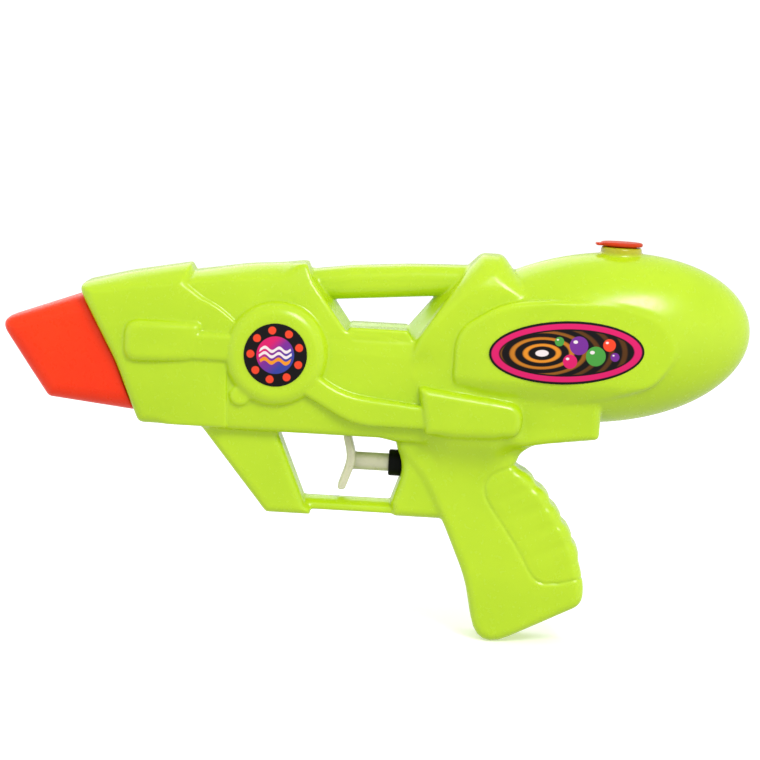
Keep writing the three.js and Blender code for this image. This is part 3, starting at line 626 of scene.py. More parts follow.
def rod(grid, axis, place, radius, start, end, edge=0.0):
    """A round bar along X or Z, from start to end."""
    if axis == "x":
        along = grid.x[:, None, None]
        radial = np.hypot(grid.across, grid.z[None, None, :] - place)
    else:
        along = grid.z[None, None, :]
        radial = np.hypot(grid.x[:, None, None] - place, grid.across)
    side = radial - radius + edge
    face = np.abs(along - (start + end) / 2) - (end - start) / 2 + edge
    corner = np.hypot(np.maximum(side, 0), np.maximum(face, 0))
    return (corner + np.minimum(np.maximum(side, face), 0) - edge).astype(np.float32)


def egg(grid, shrink=0.0):
    """The tank: a tilted egg with a flat on each side."""
    length, width, height = [half - shrink for half in TANK_HALVES]
    off_x = grid.flat_x - TANK_CENTRE[0]
    off_z = grid.flat_z - TANK_CENTRE[1]
    along = off_x * math.cos(TANK_TILT) + off_z * math.sin(TANK_TILT)
    up = off_z * math.cos(TANK_TILT) - off_x * math.sin(TANK_TILT)
    height = height * (1 + TANK_SWELL * along / length)
    flat = (along / length) ** 2 + (up / height) ** 2
    steep = (along / length**2) ** 2 + (up / height**2) ** 2
    far = np.sqrt(over_width(flat) + (grid.across / width) ** 2)
    slope = np.sqrt(over_width(steep) + (grid.across / width**2) ** 2)
    form = far * (far - 1) / np.maximum(slope, 1e-6)
    return meet(form, np.abs(grid.across) - (TANK_FLAT - shrink), TANK_FLAT_ROUND).astype(np.float32)


def join(one, other, reach):
    """Both forms, with a fillet of about `reach` where they meet."""
    near = np.maximum(reach - np.abs(one - other), 0) / reach
    return np.minimum(one, other) - near**2 * reach / 4


def meet(one, other, reach):
    """What two forms share, with its edge rounded."""
    return -join(-one, -other, reach)


def cut(form, tool):
    """A form with another taken out of it."""
    return meet(form, -tool, CUT_ROUND)


def fade(value, start, end, first, last):
    """From first to last as value goes from start to end, softly."""
    share = np.clip((value - start) / (end - start), 0, 1)
    return first + (last - first) * share**2 * (3 - 2 * share)


def fade_straight(value, start, end, first, last):
    """From first to last in a straight line as value goes from start to end."""
    return first + (last - first) * np.clip((value - start) / (end - start), 0, 1)


def add(form, grid, part):
    """A form with one more slab of the body joined to it."""
    flat = outline_distance(grid, part.outline)
    return join(form, slab(grid, flat, part.half, part.edge), part.reach)


# Surfaces from fields

MOVES = 3
LEAST_SLOPE = 0.1


def sample(field, grid, points):
    """The field at any points, between the points of its grid."""
    counts = np.clip(grid.counts(points), 0, np.array(field.shape) - 1.001)
    first = counts.astype(int)
    share = counts - first
    total = 0
    for corner in np.ndindex(2, 2, 2):
        weight = np.prod(np.where(corner, share, 1 - share), axis=1)
        total = total + weight * field[tuple((first + corner).T)]
    return total


def slopes(field, grid, points):
    """The direction in which the field grows, at any points."""
    steps = grid.step / 2 * np.eye(3)
    pairs = [sample(field, grid, points + s) - sample(field, grid, points - s) for s in steps]
    return np.stack(pairs, axis=1) / grid.step


def surface_net(field, grid):
    """Corners and quads of the field's zero surface, with one corner in each cell that it crosses."""
    cells = np.array(field.shape) - 1
    keys, spots, rings = [], [], []
    for axis in range(3):
        first = np.delete(np.arange(field.shape[axis]), -1)
        here, there = field.take(first, axis), field.take(first + 1, axis)
        edges = np.argwhere((here < 0) != (there < 0))
        start, end = here[tuple(edges.T)], there[tuple(edges.T)]
        spot = edges.astype(float)
        spot[:, axis] += start / (start - end)
        turn = np.zeros((4, 3), int)
        turn[:, (axis + 1) % 3] = (0, -1, -1, 0)
        turn[:, (axis + 2) % 3] = (0, 0, -1, -1)
        around = edges[:, None, :] + turn
        inside = ((around >= 0) & (around < cells)).all(2)
        key = np.ravel_multi_index(np.moveaxis(np.clip(around, 0, cells - 1), 2, 0), cells)
        keys.append(key[inside])
        spots.append(np.repeat(spot[:, None, :], 4, axis=1)[inside])
        ring = key.copy()
        ring[start > 0] = ring[start > 0][:, ::-1]
        rings.append(ring[inside.all(1)])
    used, owner = np.unique(np.concatenate(keys), return_inverse=True)
    count = np.bincount(owner)
    spots = np.concatenate(spots)
    middles = np.stack([np.bincount(owner, spots[:, i]) / count for i in range(3)], axis=1)
    return grid.places(middles), np.searchsorted(used, np.concatenate(rings))


def surface(field, grid, seam=0.0):
    """Both halves of a form's surface. A seam stands out along the middle plane by that much."""
    points, quads = surface_net(field, grid)
    for _ in range(MOVES):
        slope = slopes(field, grid, points)
        steep = np.maximum((slope**2).sum(1), LEAST_SLOPE)
        points -= slope * (sample(field, grid, points) / steep)[:, None]
    middle = np.abs(points[:, 1]) < grid.step / 100
    points[middle, 1] = 0
    slope = slopes(field, grid, points[middle])
    points[middle] += seam * slope / np.maximum(np.linalg.norm(slope, axis=1), LEAST_SLOPE)[:, None]
    twin = np.arange(len(points))
    twin[~middle] = len(points) + np.arange((~middle).sum())
    both = np.concatenate([points, points[~middle] * (1, -1, 1)])
    return both, np.concatenate([quads, twin[quads][:, ::-1]])


def mesh_object(name, points, faces, material, sharp=None):
    """An object from points in metres and faces of equally many corners."""
    mesh = bpy.data.meshes.new(name)
    corners = faces.shape[1]
    mesh.vertices.add(len(points))
    mesh.vertices.foreach_set("co", np.ascontiguousarray(points, np.float32).ravel())
    mesh.loops.add(faces.size)
    mesh.loops.foreach_set("vertex_index", np.ascontiguousarray(faces, np.int32).ravel())
    mesh.polygons.add(len(faces))
    mesh.polygons.foreach_set("loop_start", np.arange(0, faces.size, corners, dtype=np.int32))
    mesh.update(calc_edges=True)
    mesh.validate()
    mesh.shade_smooth()
    if sharp:
        mesh.set_sharp_from_angle(angle=sharp)
    mesh.materials.append(material)
    made = bpy.data.objects.new(name, mesh)
    bpy.context.scene.collection.objects.link(made)
    return made


def moulded_object(name, field, grid, material, seam=0.0):
    """An object whose surface is where a field of the toy is zero."""
    points, quads = surface(field, grid, seam)
    return mesh_object(name, points * MM + DATUM, quads, material)


def turned_object(name, profile, centre, material, sides=64):
    """A closed profile of (distance along X, radius), spun about X."""
    angles = np.linspace(0, 2 * math.pi, sides, endpoint=False)
    along, radius = np.array(profile).T
    ring = np.stack([np.zeros(sides), np.cos(angles), np.sin(angles)], axis=1)
    points = np.concatenate([x * np.array([1, 0, 0]) + r * ring for x, r in zip(along, radius)])
    rows = np.arange(len(profile) * sides).reshape(len(profile), sides)
    below, above = rows, np.roll(rows, -1, axis=0)
    quads = np.stack([below, np.roll(below, -1, 1), np.roll(above, -1, 1), above], axis=2).reshape(-1, 4)
    return mesh_object(name, points * MM + centre, quads, material, sharp=SMOOTH_ANGLE)


def wound_object(name, path, across, wire, material, sides=12):
    """Round wire along a path of points, closed at both ends; `across` points to the wire's side."""
    along = np.gradient(path, axis=0)
    along /= np.linalg.norm(along, axis=1, keepdims=True)
    beside = np.cross(along, across)
    beside /= np.linalg.norm(beside, axis=1, keepdims=True)
    outward = np.cross(beside, along)
    angles = np.linspace(0, 2 * math.pi, sides, endpoint=False)
    turn = np.cos(angles)[None, :, None] * outward[:, None] + np.sin(angles)[None, :, None] * beside[:, None]
    points = (path[:, None] + wire * turn).reshape(-1, 3)
    rows = np.arange(len(points)).reshape(len(path), sides)
    one, two = rows[:-1], rows[1:]
    next_one, next_two = np.roll(one, -1, 1), np.roll(two, -1, 1)
    strips = ((one, next_one, next_two), (one, next_two, two))
    skin = np.concatenate([np.stack(strip, axis=2).reshape(-1, 3) for strip in strips])
    fan = np.arange(1, sides - 1)
    first = np.stack([np.zeros_like(fan), fan + 1, fan], axis=1)
    last = np.stack([np.zeros_like(fan), fan, fan + 1], axis=1) + rows[-1, 0]
    return mesh_object(name, points, np.concatenate([skin, first, last]), material, sharp=WIRE_ANGLE)


def stand_for(made, body, node):
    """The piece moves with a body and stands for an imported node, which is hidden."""
    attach(made, body)
    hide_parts(node)


# Materials

BROAD_CLOUDS = 28.0
CLOUD_BAND = (0.35, 0.7)
SCUFF_SCALE = 420
SCUFF_BAND = (0.35, 0.65)


def new_group(name, inputs, outputs):
    """An empty shader group with its sockets, and its input and output nodes."""
    tree = bpy.data.node_groups.new(name, "ShaderNodeTree")
    for label, kind, default in inputs:
        socket = tree.interface.new_socket(label, in_out="INPUT", socket_type=kind)
        socket.default_value = default
    for label, kind in outputs:
        tree.interface.new_socket(label, in_out="OUTPUT", socket_type=kind)
    return tree, tree.nodes.new("NodeGroupInput"), tree.nodes.new("NodeGroupOutput")


def feed(tree, socket, given):
    """Links another socket to this one, or puts a constant on it."""
    if isinstance(given, bpy.types.NodeSocket):
        tree.links.new(given, socket)
    elif socket.type == "RGBA":
        socket.default_value = (*given[:3], 1)
    else:
        socket.default_value = given


def math_node(tree, operation, first, second=None):
    """The output of a sum of one or two values, each a socket or a number."""
    node = tree.nodes.new("ShaderNodeMath")
    node.operation = operation
    for socket, value in zip(node.inputs, (first, second)):
        if value is not None:
            feed(tree, socket, value)
    return node.outputs[0]


def map_range(tree, value, start, end, low, high):
    """A value moved softly from one range to another."""
    node = tree.nodes.new("ShaderNodeMapRange")
    node.interpolation_type = "SMOOTHSTEP"
    labels = ("Value", "From Min", "From Max", "To Min", "To Max")
    for label, given in zip(labels, (value, start, end, low, high)):
        feed(tree, node.inputs[label], given)
    return node.outputs["Result"]


def mix_colour(tree, share, below, above):
    """Two colours mixed by a share, each a socket or a constant."""
    node = tree.nodes.new("ShaderNodeMix")
    node.data_type = "RGBA"
    for place, given in ((0, share), (6, below), (7, above)):
        feed(tree, node.inputs[place], given)
    return node.outputs[2]


def noise(tree, vector, scale, detail, roughness=0.5):
    """The value of a noise over the surface; scale is waves per metre."""
    node = tree.nodes.new("ShaderNodeTexNoise")
    for label, given in (("Detail", detail), ("Roughness", roughness), ("Vector", vector), ("Scale", scale)):
        feed(tree, node.inputs[label], given)
    return node.outputs["Fac"]


def object_place(tree):
    """The place on the surface, in metres of the object."""
    return tree.nodes.new("ShaderNodeTexCoord").outputs["Object"]


def moulded_skin():
    """Shared skin of moulded plastic: cloudy colour, uneven gloss and a faint ripple."""
    if "Moulded skin" in bpy.data.node_groups:
        return bpy.data.node_groups["Moulded skin"]
    inputs = [
        ("Colour", "NodeSocketColor", (0.8, 0.8, 0.8, 1)),
        ("Deep colour", "NodeSocketColor", (0.7, 0.7, 0.7, 1)),
        ("Cloud scale", "NodeSocketFloat", BROAD_CLOUDS),
        ("Ripple scale", "NodeSocketFloat", 160.0),
        ("Least roughness", "NodeSocketFloat", 0.25),
        ("Most roughness", "NodeSocketFloat", 0.4),
    ]
    outputs = [
        ("Colour", "NodeSocketColor"),
        ("Roughness", "NodeSocketFloat"),
        ("Height", "NodeSocketFloat"),
    ]
    tree, given, result = new_group("Moulded skin", inputs, outputs)
    place = object_place(tree)
    cloud = noise(tree, place, given.outputs["Cloud scale"], detail=3)
    share = map_range(tree, cloud, *CLOUD_BAND, 0, 1)
    colour = mix_colour(tree, share, given.outputs["Colour"], given.outputs["Deep colour"])
    scuff = noise(tree, place, SCUFF_SCALE, detail=5, roughness=0.65)
    least, most = given.outputs["Least roughness"], given.outputs["Most roughness"]
    gloss = map_range(tree, scuff, *SCUFF_BAND, least, most)
    ripple = noise(tree, place, given.outputs["Ripple scale"], detail=1)
    tree.links.new(colour, result.inputs["Colour"])
    tree.links.new(gloss, result.inputs["Roughness"])
    tree.links.new(ripple, result.inputs["Height"])
    return tree


def plain_material(name, **values):
    """A material whose shader takes the given constants. Returns it, its tree and its shader."""
    material = bpy.data.materials.new(name)
    material.use_nodes = True
    shader = material.node_tree.nodes["Principled BSDF"]
    for label, value in values.items():
        shader.inputs[label.replace("_", " ")].default_value = value
    return material, material.node_tree, shader


def add_skin(tree, shader, colour, deep, roughness, clouds, relief):
    """The shared skin, wired to a shader, with its relief in metres. Returns its node."""
    skin = tree.nodes.new("ShaderNodeGroup")
    skin.node_tree = moulded_skin()
    feed(tree, skin.inputs["Colour"], colour)
    feed(tree, skin.inputs["Deep colour"], deep)
    feed(tree, skin.inputs["Least roughness"], roughness[0])
    feed(tree, skin.inputs["Most roughness"], roughness[1])
    feed(tree, skin.inputs["Cloud scale"], clouds)
    tree.links.new(skin.outputs["Colour"], shader.inputs["Base Color"])
    tree.links.new(skin.outputs["Roughness"], shader.inputs["Roughness"])
    if relief:
        bump = tree.nodes.new("ShaderNodeBump")
        feed(tree, bump.inputs["Distance"], relief)
        feed(tree, bump.inputs["Strength"], 1)
        tree.links.new(skin.outputs["Height"], bump.inputs["Height"])
        tree.links.new(bump.outputs["Normal"], shader.inputs["Normal"])
    return skin


def skinned_material(name, colour, deep, roughness, clouds=BROAD_CLOUDS, relief=None, **values):
    """A material with the shared skin."""
    material, tree, shader = plain_material(name, **values)
    add_skin(tree, shader, colour, deep, roughness, clouds, relief)
    return material


def toned(colour, share):
    """A colour made darker, or lighter where the share is over 1."""
    return [value * share for value in colour]


def body_plastic(colours):
    """Slightly translucent yellow-green polyethylene, with the stopper glowing through the neck."""
    material, tree, shader = plain_material(
        "Lime plastic",
        Subsurface_Weight=0.35,
        Subsurface_Radius=(1.0, 1.0, 0.35),
        Subsurface_Scale=0.003,
        IOR=1.5,
        Specular_IOR_Level=0.5,
    )
    skin = add_skin(tree, shader, colours.lime, colours.lime_deep, (0.2, 0.28), BROAD_CLOUDS, 0.00004)
    place = tree.nodes.new("ShaderNodeSeparateXYZ")
    tree.links.new(object_place(tree), place.inputs[0])
    glow = [DATUM[2] + (NECK_TOP + rise) * MM for rise in NECK_GLOW_RISE]
    above = map_range(tree, place.outputs["Z"], *glow, 0, 1)
    level = tree.nodes.new("ShaderNodeCombineXYZ")
    tree.links.new(place.outputs["X"], level.inputs["X"])
    tree.links.new(place.outputs["Y"], level.inputs["Y"])
    away = tree.nodes.new("ShaderNodeVectorMath")
    away.operation = "DISTANCE"
    away.inputs[1].default_value = (DATUM[0] + NECK_X * MM, 0, 0)
    tree.links.new(level.outputs[0], away.inputs[0])
    glow = [(NECK_RADIUS + reach) * MM for reach in NECK_GLOW_REACH]
    near = map_range(tree, away.outputs["Value"], *glow, 1, 0)
    neck = math_node(tree, "MULTIPLY", above, near)
    colour = mix_colour(tree, neck, skin.outputs["Colour"], colours.neck)
    tree.links.new(colour, shader.inputs["Base Color"])
    return material


def tip_plastic(colours):
    """Glossy orange polyethylene."""
    return skinned_material(
        "Orange plastic",
        colours.orange,
        colours.orange_deep,
        (0.26, 0.36),
        relief=0.00004,
        Subsurface_Weight=0.25,
        Subsurface_Radius=(1.0, 0.4, 0.2),
        Subsurface_Scale=0.002,
        IOR=1.5,
        Specular_IOR_Level=0.25,
    )


def natural_plastic(colours):
    """Uncoloured milky plastic."""
    return skinned_material(
        "Natural plastic",
        colours.natural,
        toned(colours.natural, 0.88),
        (0.25, 0.38),
        clouds=120,
        relief=0.00003,
        Subsurface_Weight=0.6,
        Subsurface_Radius=(1.0, 0.95, 0.8),
        Subsurface_Scale=0.004,
        IOR=1.5,
    )


def stopper_rubber(colours):
    """Soft orange stopper."""
    return skinned_material(
        "Orange stopper",
        colours.stopper,
        toned(colours.stopper, 0.85),
        (0.4, 0.55),
        clouds=150,
        relief=0.00003,
        Specular_IOR_Level=0.2,
        Subsurface_Weight=0.3,
        Subsurface_Radius=(1.0, 0.4, 0.2),
        Subsurface_Scale=0.002,
    )


def collar_plastic(colours):
    """Satin black plastic, greyer in its clouds."""
    return skinned_material(
        "Black plastic",
        colours.black,
        toned(colours.black, 2.2),
        (0.4, 0.6),
        clouds=300,
        relief=0.00003,
        Specular_IOR_Level=0.07,
    )


def seal_rubber():
    """Dark rubber of the seals and the grommet."""
    dark, darkest = linear(38, 38, 38), linear(30, 30, 30)
    return skinned_material("Seal rubber", dark, darkest, (0.6, 0.8), clouds=300, relief=0.00002)


def spring_steel():
    """Bright steel of the springs and the valve balls."""
    grey, dull = linear(196, 199, 202), linear(168, 170, 174)
    return skinned_material("Spring steel", grey, dull, (0.18, 0.32), clouds=500, Metallic=1.0)


def clear_hose():
    """Clear soft hose."""
    clear, milky = linear(226, 232, 222), linear(214, 222, 208)
    return skinned_material(
        "Clear hose", clear, milky, (0.12, 0.22), clouds=80, Transmission_Weight=0.7, IOR=1.42
    )


def spot_mask():
    """Shared mask of an oval spot on a sticker, in millimetres of its face: 1 inside and 0 outside."""
    if "Spot mask" in bpy.data.node_groups:
        return bpy.data.node_groups["Spot mask"]
    inputs = [
        ("Along", "NodeSocketFloat", 0.0),
        ("Up", "NodeSocketFloat", 0.0),
        ("Centre along", "NodeSocketFloat", 0.0),
        ("Centre up", "NodeSocketFloat", 0.0),
        ("Half length", "NodeSocketFloat", 1.0),
        ("Half height", "NodeSocketFloat", 1.0),
    ]
    tree, given, result = new_group("Spot mask", inputs, [("Mask", "NodeSocketFloat")])
    squares = []
    for axis, size in (("along", "Half length"), ("up", "Half height")):
        off = math_node(tree, "SUBTRACT", given.outputs[axis.title()], given.outputs[f"Centre {axis}"])
        squares.append(math_node(tree, "POWER", math_node(tree, "DIVIDE", off, given.outputs[size]), 2))
    far = math_node(tree, "SQRT", math_node(tree, "ADD", *squares))
    beyond = math_node(tree, "MULTIPLY", math_node(tree, "SUBTRACT", far, 1), given.outputs["Half height"])
    mask = map_range(tree, beyond, -PRINT_SOFT, PRINT_SOFT, 1, 0)
    tree.links.new(mask, result.inputs["Mask"])
    return tree


class Print:
    """The printed face of a sticker, built up colour on colour, in millimetres from its middle."""

    def __init__(self, name, ground):
        self.material, self.tree, self.shader = plain_material(name, Roughness=0.25, Specular_IOR_Level=0.15)
        place = self.tree.nodes.new("ShaderNodeSeparateXYZ")
        self.tree.links.new(object_place(self.tree), place.inputs[0])
        self.along = math_node(self.tree, "MULTIPLY", place.outputs["X"], 1 / MM)
        self.up = math_node(self.tree, "MULTIPLY", place.outputs["Y"], 1 / MM)
        self.colour = ground

    def spot(self, centre, half_length, half_height, along=None, up=None):
        """The mask of an oval spot."""
        node = self.tree.nodes.new("ShaderNodeGroup")
        node.node_tree = spot_mask()
        self.tree.links.new(along or self.along, node.inputs["Along"])
        self.tree.links.new(up or self.up, node.inputs["Up"])
        values = (*centre, half_length, half_height)
        for label, value in zip(("Centre along", "Centre up", "Half length", "Half height"), values):
            node.inputs[label].default_value = value
        return node.outputs["Mask"]

    def lay(self, mask, colour):
        """One more colour, where the mask is 1."""
        self.colour = mix_colour(self.tree, mask, self.colour, colour)

    def both(self, one, other):
        """Where two masks are both 1."""
        return math_node(self.tree, "MULTIPLY", one, other)

    def wave(self, level, height, length, half_width):
        """The mask of a wavy line along the sticker."""
        tree = self.tree
        swing = math_node(tree, "SINE", math_node(tree, "MULTIPLY", self.along, 2 * math.pi / length))
        line = math_node(tree, "ADD", math_node(tree, "MULTIPLY", swing, height), level)
        off = math_node(tree, "ABSOLUTE", math_node(tree, "SUBTRACT", self.up, line))
        return map_range(tree, off, half_width - PRINT_SOFT, half_width + PRINT_SOFT, 1, 0)

    def finish(self):
        """The material, with the print as its colour."""
        self.tree.links.new(self.colour, self.shader.inputs["Base Color"])
        return self.material


def distance_node(tree, one, other):
    """The length of a line that goes this far one way and that far the other."""
    squares = math_node(tree, "ADD", math_node(tree, "POWER", one, 2), math_node(tree, "POWER", other, 2))
    return math_node(tree, "SQRT", squares)


def round_print(colours):
    """A ring of dots around water waves on a violet ground."""
    ink = Print("Round sticker", colours.print_black)
    tree = ink.tree
    turn = math_node(tree, "ARCTAN2", ink.up, ink.along)
    count = math_node(tree, "MULTIPLY", turn, ROUND_DOTS / (2 * math.pi))
    step = math_node(tree, "SUBTRACT", math_node(tree, "FRACT", count), 0.5)
    arc = math_node(tree, "MULTIPLY", step, 2 * math.pi * ROUND_DOT_RING / ROUND_DOTS)
    far = distance_node(tree, ink.along, ink.up)
    ink.lay(ink.spot((0, ROUND_DOT_RING), ROUND_DOT, ROUND_DOT, along=arc, up=far), colours.print_red)
    slant = math_node(tree, "SUBTRACT", ink.along, ink.up)
    ground = colours.print_pink
    for start, colour in ((-ROUND_BLEND, colours.print_violet), (0, colours.print_blue)):
        ground = mix_colour(tree, map_range(tree, slant, start, start + ROUND_BLEND, 0, 1), ground, colour)
    ink.lay(ink.spot((0, 0), ROUND_MIDDLE, ROUND_MIDDLE), ground)
    inner = ink.spot((0, 0), ROUND_MIDDLE - ROUND_RIM, ROUND_MIDDLE - ROUND_RIM)
    for level, half_width, label in ROUND_WAVES:
        wave = ink.wave(level, WAVE_HEIGHT, WAVE_LENGTH, half_width)
        ink.lay(ink.both(inner, wave), getattr(colours, label))
    return ink.finish()


def oval_print(colours):
    """A pink border around golden ripples and coloured bubbles on a dark ground."""
    ink = Print("Oval sticker", colours.print_black)
    tree = ink.tree
    rim, border, inner = [
        ink.spot((0, 0), OVAL_HALVES[0] - inset[0], OVAL_HALVES[1] - inset[1])
        for inset in (OVAL_RIM, OVAL_BORDER, OVAL_INNER)
    ]
    ink.lay(rim, colours.print_pink)
    ink.lay(border, colours.print_black)
    off_along = math_node(tree, "MULTIPLY", math_node(tree, "SUBTRACT", ink.along, RIPPLE_X), RIPPLE_SQUEEZE)
    far = distance_node(tree, off_along, ink.up)
    swell = math_node(tree, "SINE", math_node(tree, "MULTIPLY", far, RIPPLE_RATE))
    ripple = map_range(tree, swell, *RIPPLE_BAND, 0, 1)
    fading = map_range(tree, far, *RIPPLE_FADE, 1, RIPPLE_FAR_SHARE)
    ink.lay(ink.both(inner, ink.both(ripple, fading)), colours.print_gold)
    ink.lay(ink.both(inner, ink.spot((RIPPLE_X, 0), *RIPPLE_EYE)), colours.print_pale)
    for along, up, radius, label in OVAL_BUBBLES:
        ink.lay(ink.both(inner, ink.spot((along, up), radius, radius)), getattr(colours, label))
        place = (along + GLINT_PLACE[0] * radius, up + GLINT_PLACE[1] * radius)
        glint = ink.spot(place, *(half * radius for half in GLINT_HALVES))
        ink.lay(ink.both(inner, glint), colours.print_pale)
    return ink.finish()


# Operators


def settings(context):
    """This scene's squirter settings."""
    return context.scene.squirter


class SQUIRTER_OT_body(bpy.types.Operator):
    """Mould the body: barrel, handle, tank, trigger guard and grip in one blown shell"""

    bl_idname = "squirter.body"
    bl_label = "Mould body"

    def execute(self, context):
        sizes = settings(context).sizes
        fine = sizes.grip_step / MM
        fine_x = [(*STEP_STRETCH, FINE_STEP), (*GRIP_STRETCH, fine)]
        fine_z = [(*GRIP_RISE, fine), *((*rise, FINE_STEP) for rise in RAISED_RISES)]
        grid = Grid("body_shell", sizes.body_step / MM, fine_x=fine_x, fine_z=fine_z)
        form = self.outside(grid, sizes)
        form = self.openings(grid, form)
        material = body_plastic(settings(context).colours)
        made = moulded_object("moulded_body", form, grid, material, sizes.seam / MM)
        stand_for(made, "shell", "body_shell")
        return {"FINISHED"}

    def outside(self, grid, sizes):
        """The outer form, with the hollow of the tank and of the grip taken out."""
        rear, grip = self.rear(grid), self.grip(grid, sizes)
        form = join(join(self.barrel(grid), rear, REAR_FILLET), egg(grid), REAR_FILLET)
        form = self.sides(grid, form)
        form = self.guard(grid, form, grip)
        neck = rod(grid, "z", NECK_X, NECK_RADIUS, TANK_CENTRE[1], NECK_TOP, NECK_EDGE)
        form = join(form, neck, NECK_FILLET)
        wall = sizes.wall / MM
        hollow = join(join(rear + wall, egg(grid, wall), HOLLOW_FILLET), grip + wall, HOLLOW_FILLET)
        return cut(form, hollow)

    def barrel(self, grid):
        """The front section, the middle, and the drafted frame, the sill and the handle of the window."""
        x, z = grid.flat_x, grid.flat_z
        crown = CROWN * np.abs((z - CROWN_MIDDLE) / CROWN_REACH) ** 3
        edge = fade(x, *STEP_ZONE, FRONT_EDGE, STEP_EDGE)
        edge += (TOP_EDGE - edge) * fade(z, *FRONT_TOP_ZONE, 0, 1)
        front = slab(grid, outline_distance(grid, FRONT_BLOCK), FRONT_HALF - crown, edge)
        ledge = LEDGE_SLOPE * np.clip(z - LEDGE, 0, SHOULDER - LEDGE) * fade(x, *LEDGE_ZONE, 0, 1)
        edge = fade(z, *FLANK_ZONE, *MID_EDGES)
        edge += (TOP_EDGE - edge) * fade(z, *MID_TOP_ZONE, 0, 1) * fade(x, *CREST_ZONE, 1, 0)
        middle = slab(grid, outline_distance(grid, MID_BLOCK), MID_HALF - crown - ledge, edge)
        form = join(front, middle, STEP_FILLET)
        window = outline_distance(grid, FRAME_BLOCK)
        face = MID_HALF - crown - ledge - FRAME_INSET
        draft = np.clip(FRAME_PINCH - fade(x, *DRAFT_ZONE, *FRAME_DRAFTS) * window, FRAME_PINCH, face)
        form = join(form, slab(grid, window, draft, FRAME_EDGE), FRAME_FILLET)
        form = join(form, slab(grid, outline_distance(grid, SILL_BLOCK), face, SILL_EDGE), FRAME_FILLET)
        return add(form, grid, HANDLE)

    def rear(self, grid):
        """The saddle behind the handle, with its fin, and the tail under the tank."""
        x, z = grid.flat_x, grid.flat_z
        flat = np.minimum(outline_distance(grid, SADDLE_BLOCK), outline_distance(grid, TAIL_BLOCK))
        rise = z - FIN_CREASE
        half = REAR_HALF - FIN_SLOPE / 2 * (rise + np.hypot(rise, FIN_ROUND))
        half -= (REAR_HALF - MID_HALF) * fade(x, *SADDLE_FRONT_ZONE, 1, 0) * fade(z, *SADDLE_LOW_ZONE, 1, 0)
        low = np.clip((TAIL_TOP - z) / (TAIL_TOP - TAIL_CREASE), 0, 1)
        half -= TAIL_DRAFT * fade(x, *TAIL_ZONE, 0, 1) * low
        over_grip = fade(x, *GRIP_FRONT_ZONE, 0, OVER_GRIP_EDGE) * fade(x, *TAIL_ZONE, 1, 0)
        over_grip *= fade(z, *GRIP_TOP_ZONE, 1, 0)
        edge = fade(z, *REAR_ZONE, *REAR_EDGES) + fade(z, *FIN_ZONE, 0, FIN_EDGE) + over_grip
        return slab(grid, flat, half, edge)

    def sides(self, grid, form):
        """The form with the panel of the tank and the raised forms of the barrel."""
        x, z = grid.flat_x, grid.flat_z
        half = fade(x, *PANEL_FRONT_ZONE, PANEL_FRONT_HALF, TANK_FLAT)
        half -= fade(z, *PANEL_LOW_ZONE, PANEL_DIP, 0)
        form = join(form, slab(grid, outline_distance(grid, PANEL), half, PANEL_EDGE), PANEL_FILLET)
        half = FRONT_HALF + fade(x, *PILL_ZONE, *PILL_RISES)
        form = join(form, slab(grid, outline_distance(grid, FRONT_PILL), half, PILL_EDGE), PANEL_FILLET)
        for raised in RAISED:
            form = add(form, grid, raised)
        ring = np.hypot(x - RING_CENTRE[0], z - RING_CENTRE[1]) - RING_RADIUS
        form = join(form, slab(grid, ring, RING_TOP, RING_EDGE), RING_FILLET)
        nub = np.hypot(x - NUB_CENTRE[0], z - NUB_CENTRE[1]) - NUB_RADIUS
        return join(form, slab(grid, nub, NUB_TOP, NUB_EDGE), NUB_FILLET)

    def guard(self, grid, form, grip):
        """The form with the trigger guard, whose bar is rounded on top, and the grip."""
        x, z = grid.flat_x, grid.flat_z
        form = add(form, grid, GUARD_STRUT)
        share = (z - GUARD_BOTTOM - GUARD_FLANK) / (GUARD_TOP - GUARD_BOTTOM - GUARD_FLANK)
        half = GUARD_HALF - GUARD_ROUND * np.clip(share, 0, 1) ** 2
        form = join(form, slab(grid, outline_distance(grid, GUARD_BAR), half, GUARD_EDGE), GUARD_FILLET)
        cove = np.minimum(fade(x, *COVE_FRONT_ZONE, *COVE_FRONT), fade(x, *COVE_BACK_ZONE, *COVE_BACK))
        form = join(form, grip, over_width(cove))
        return add(form, grid, GRIP_WEB)

    def grip(self, grid, sizes):
        """The grip, with a line around its pad and ridges on its back."""
        x, z = grid.flat_x, grid.flat_z
        pad = outline_distance(grid, GRIP_PAD)
        ridge = sizes.ridge / MM
        teeth = np.zeros_like(x)
        for share in np.linspace(0, 1, RIDGE_COUNT):
            root = np.array(RIDGE_TOP) * (1 - share) + np.array(RIDGE_BOTTOM) * share
            away = segment_distance(x, z, root + RIDGE_OUT, root + RIDGE_RUN)
            inward = np.hypot(x - root[0], z - root[1])
            inward = fade(inward, RIDGE_CORE, RIDGE_REACH, 1, RIDGE_FAR_SHARE)
            teeth = np.maximum(teeth, ridge * inward * fade(away, RIDGE_FLAT, RIDGE_HALF, 1, 0))
        relief = PAD_RISE * fade(pad, -PAD_SLOPE, 0, 1, 0)
        relief -= sizes.groove / MM * np.exp(-((pad / GROOVE_HALF) ** 2))
        half = GRIP_HALF - fade(z, *GRIP_ZONE, 0, GRIP_WAIST)
        form = slab(grid, outline_distance(grid, GRIP), half, GRIP_EDGE)
        back = fade(np.abs(grid.across), *RIDGE_SIDE_ZONE, 1, RIDGE_SIDE_SHARE)
        return form - (over_width(teeth) * back + over_width(relief)).astype(np.float32)

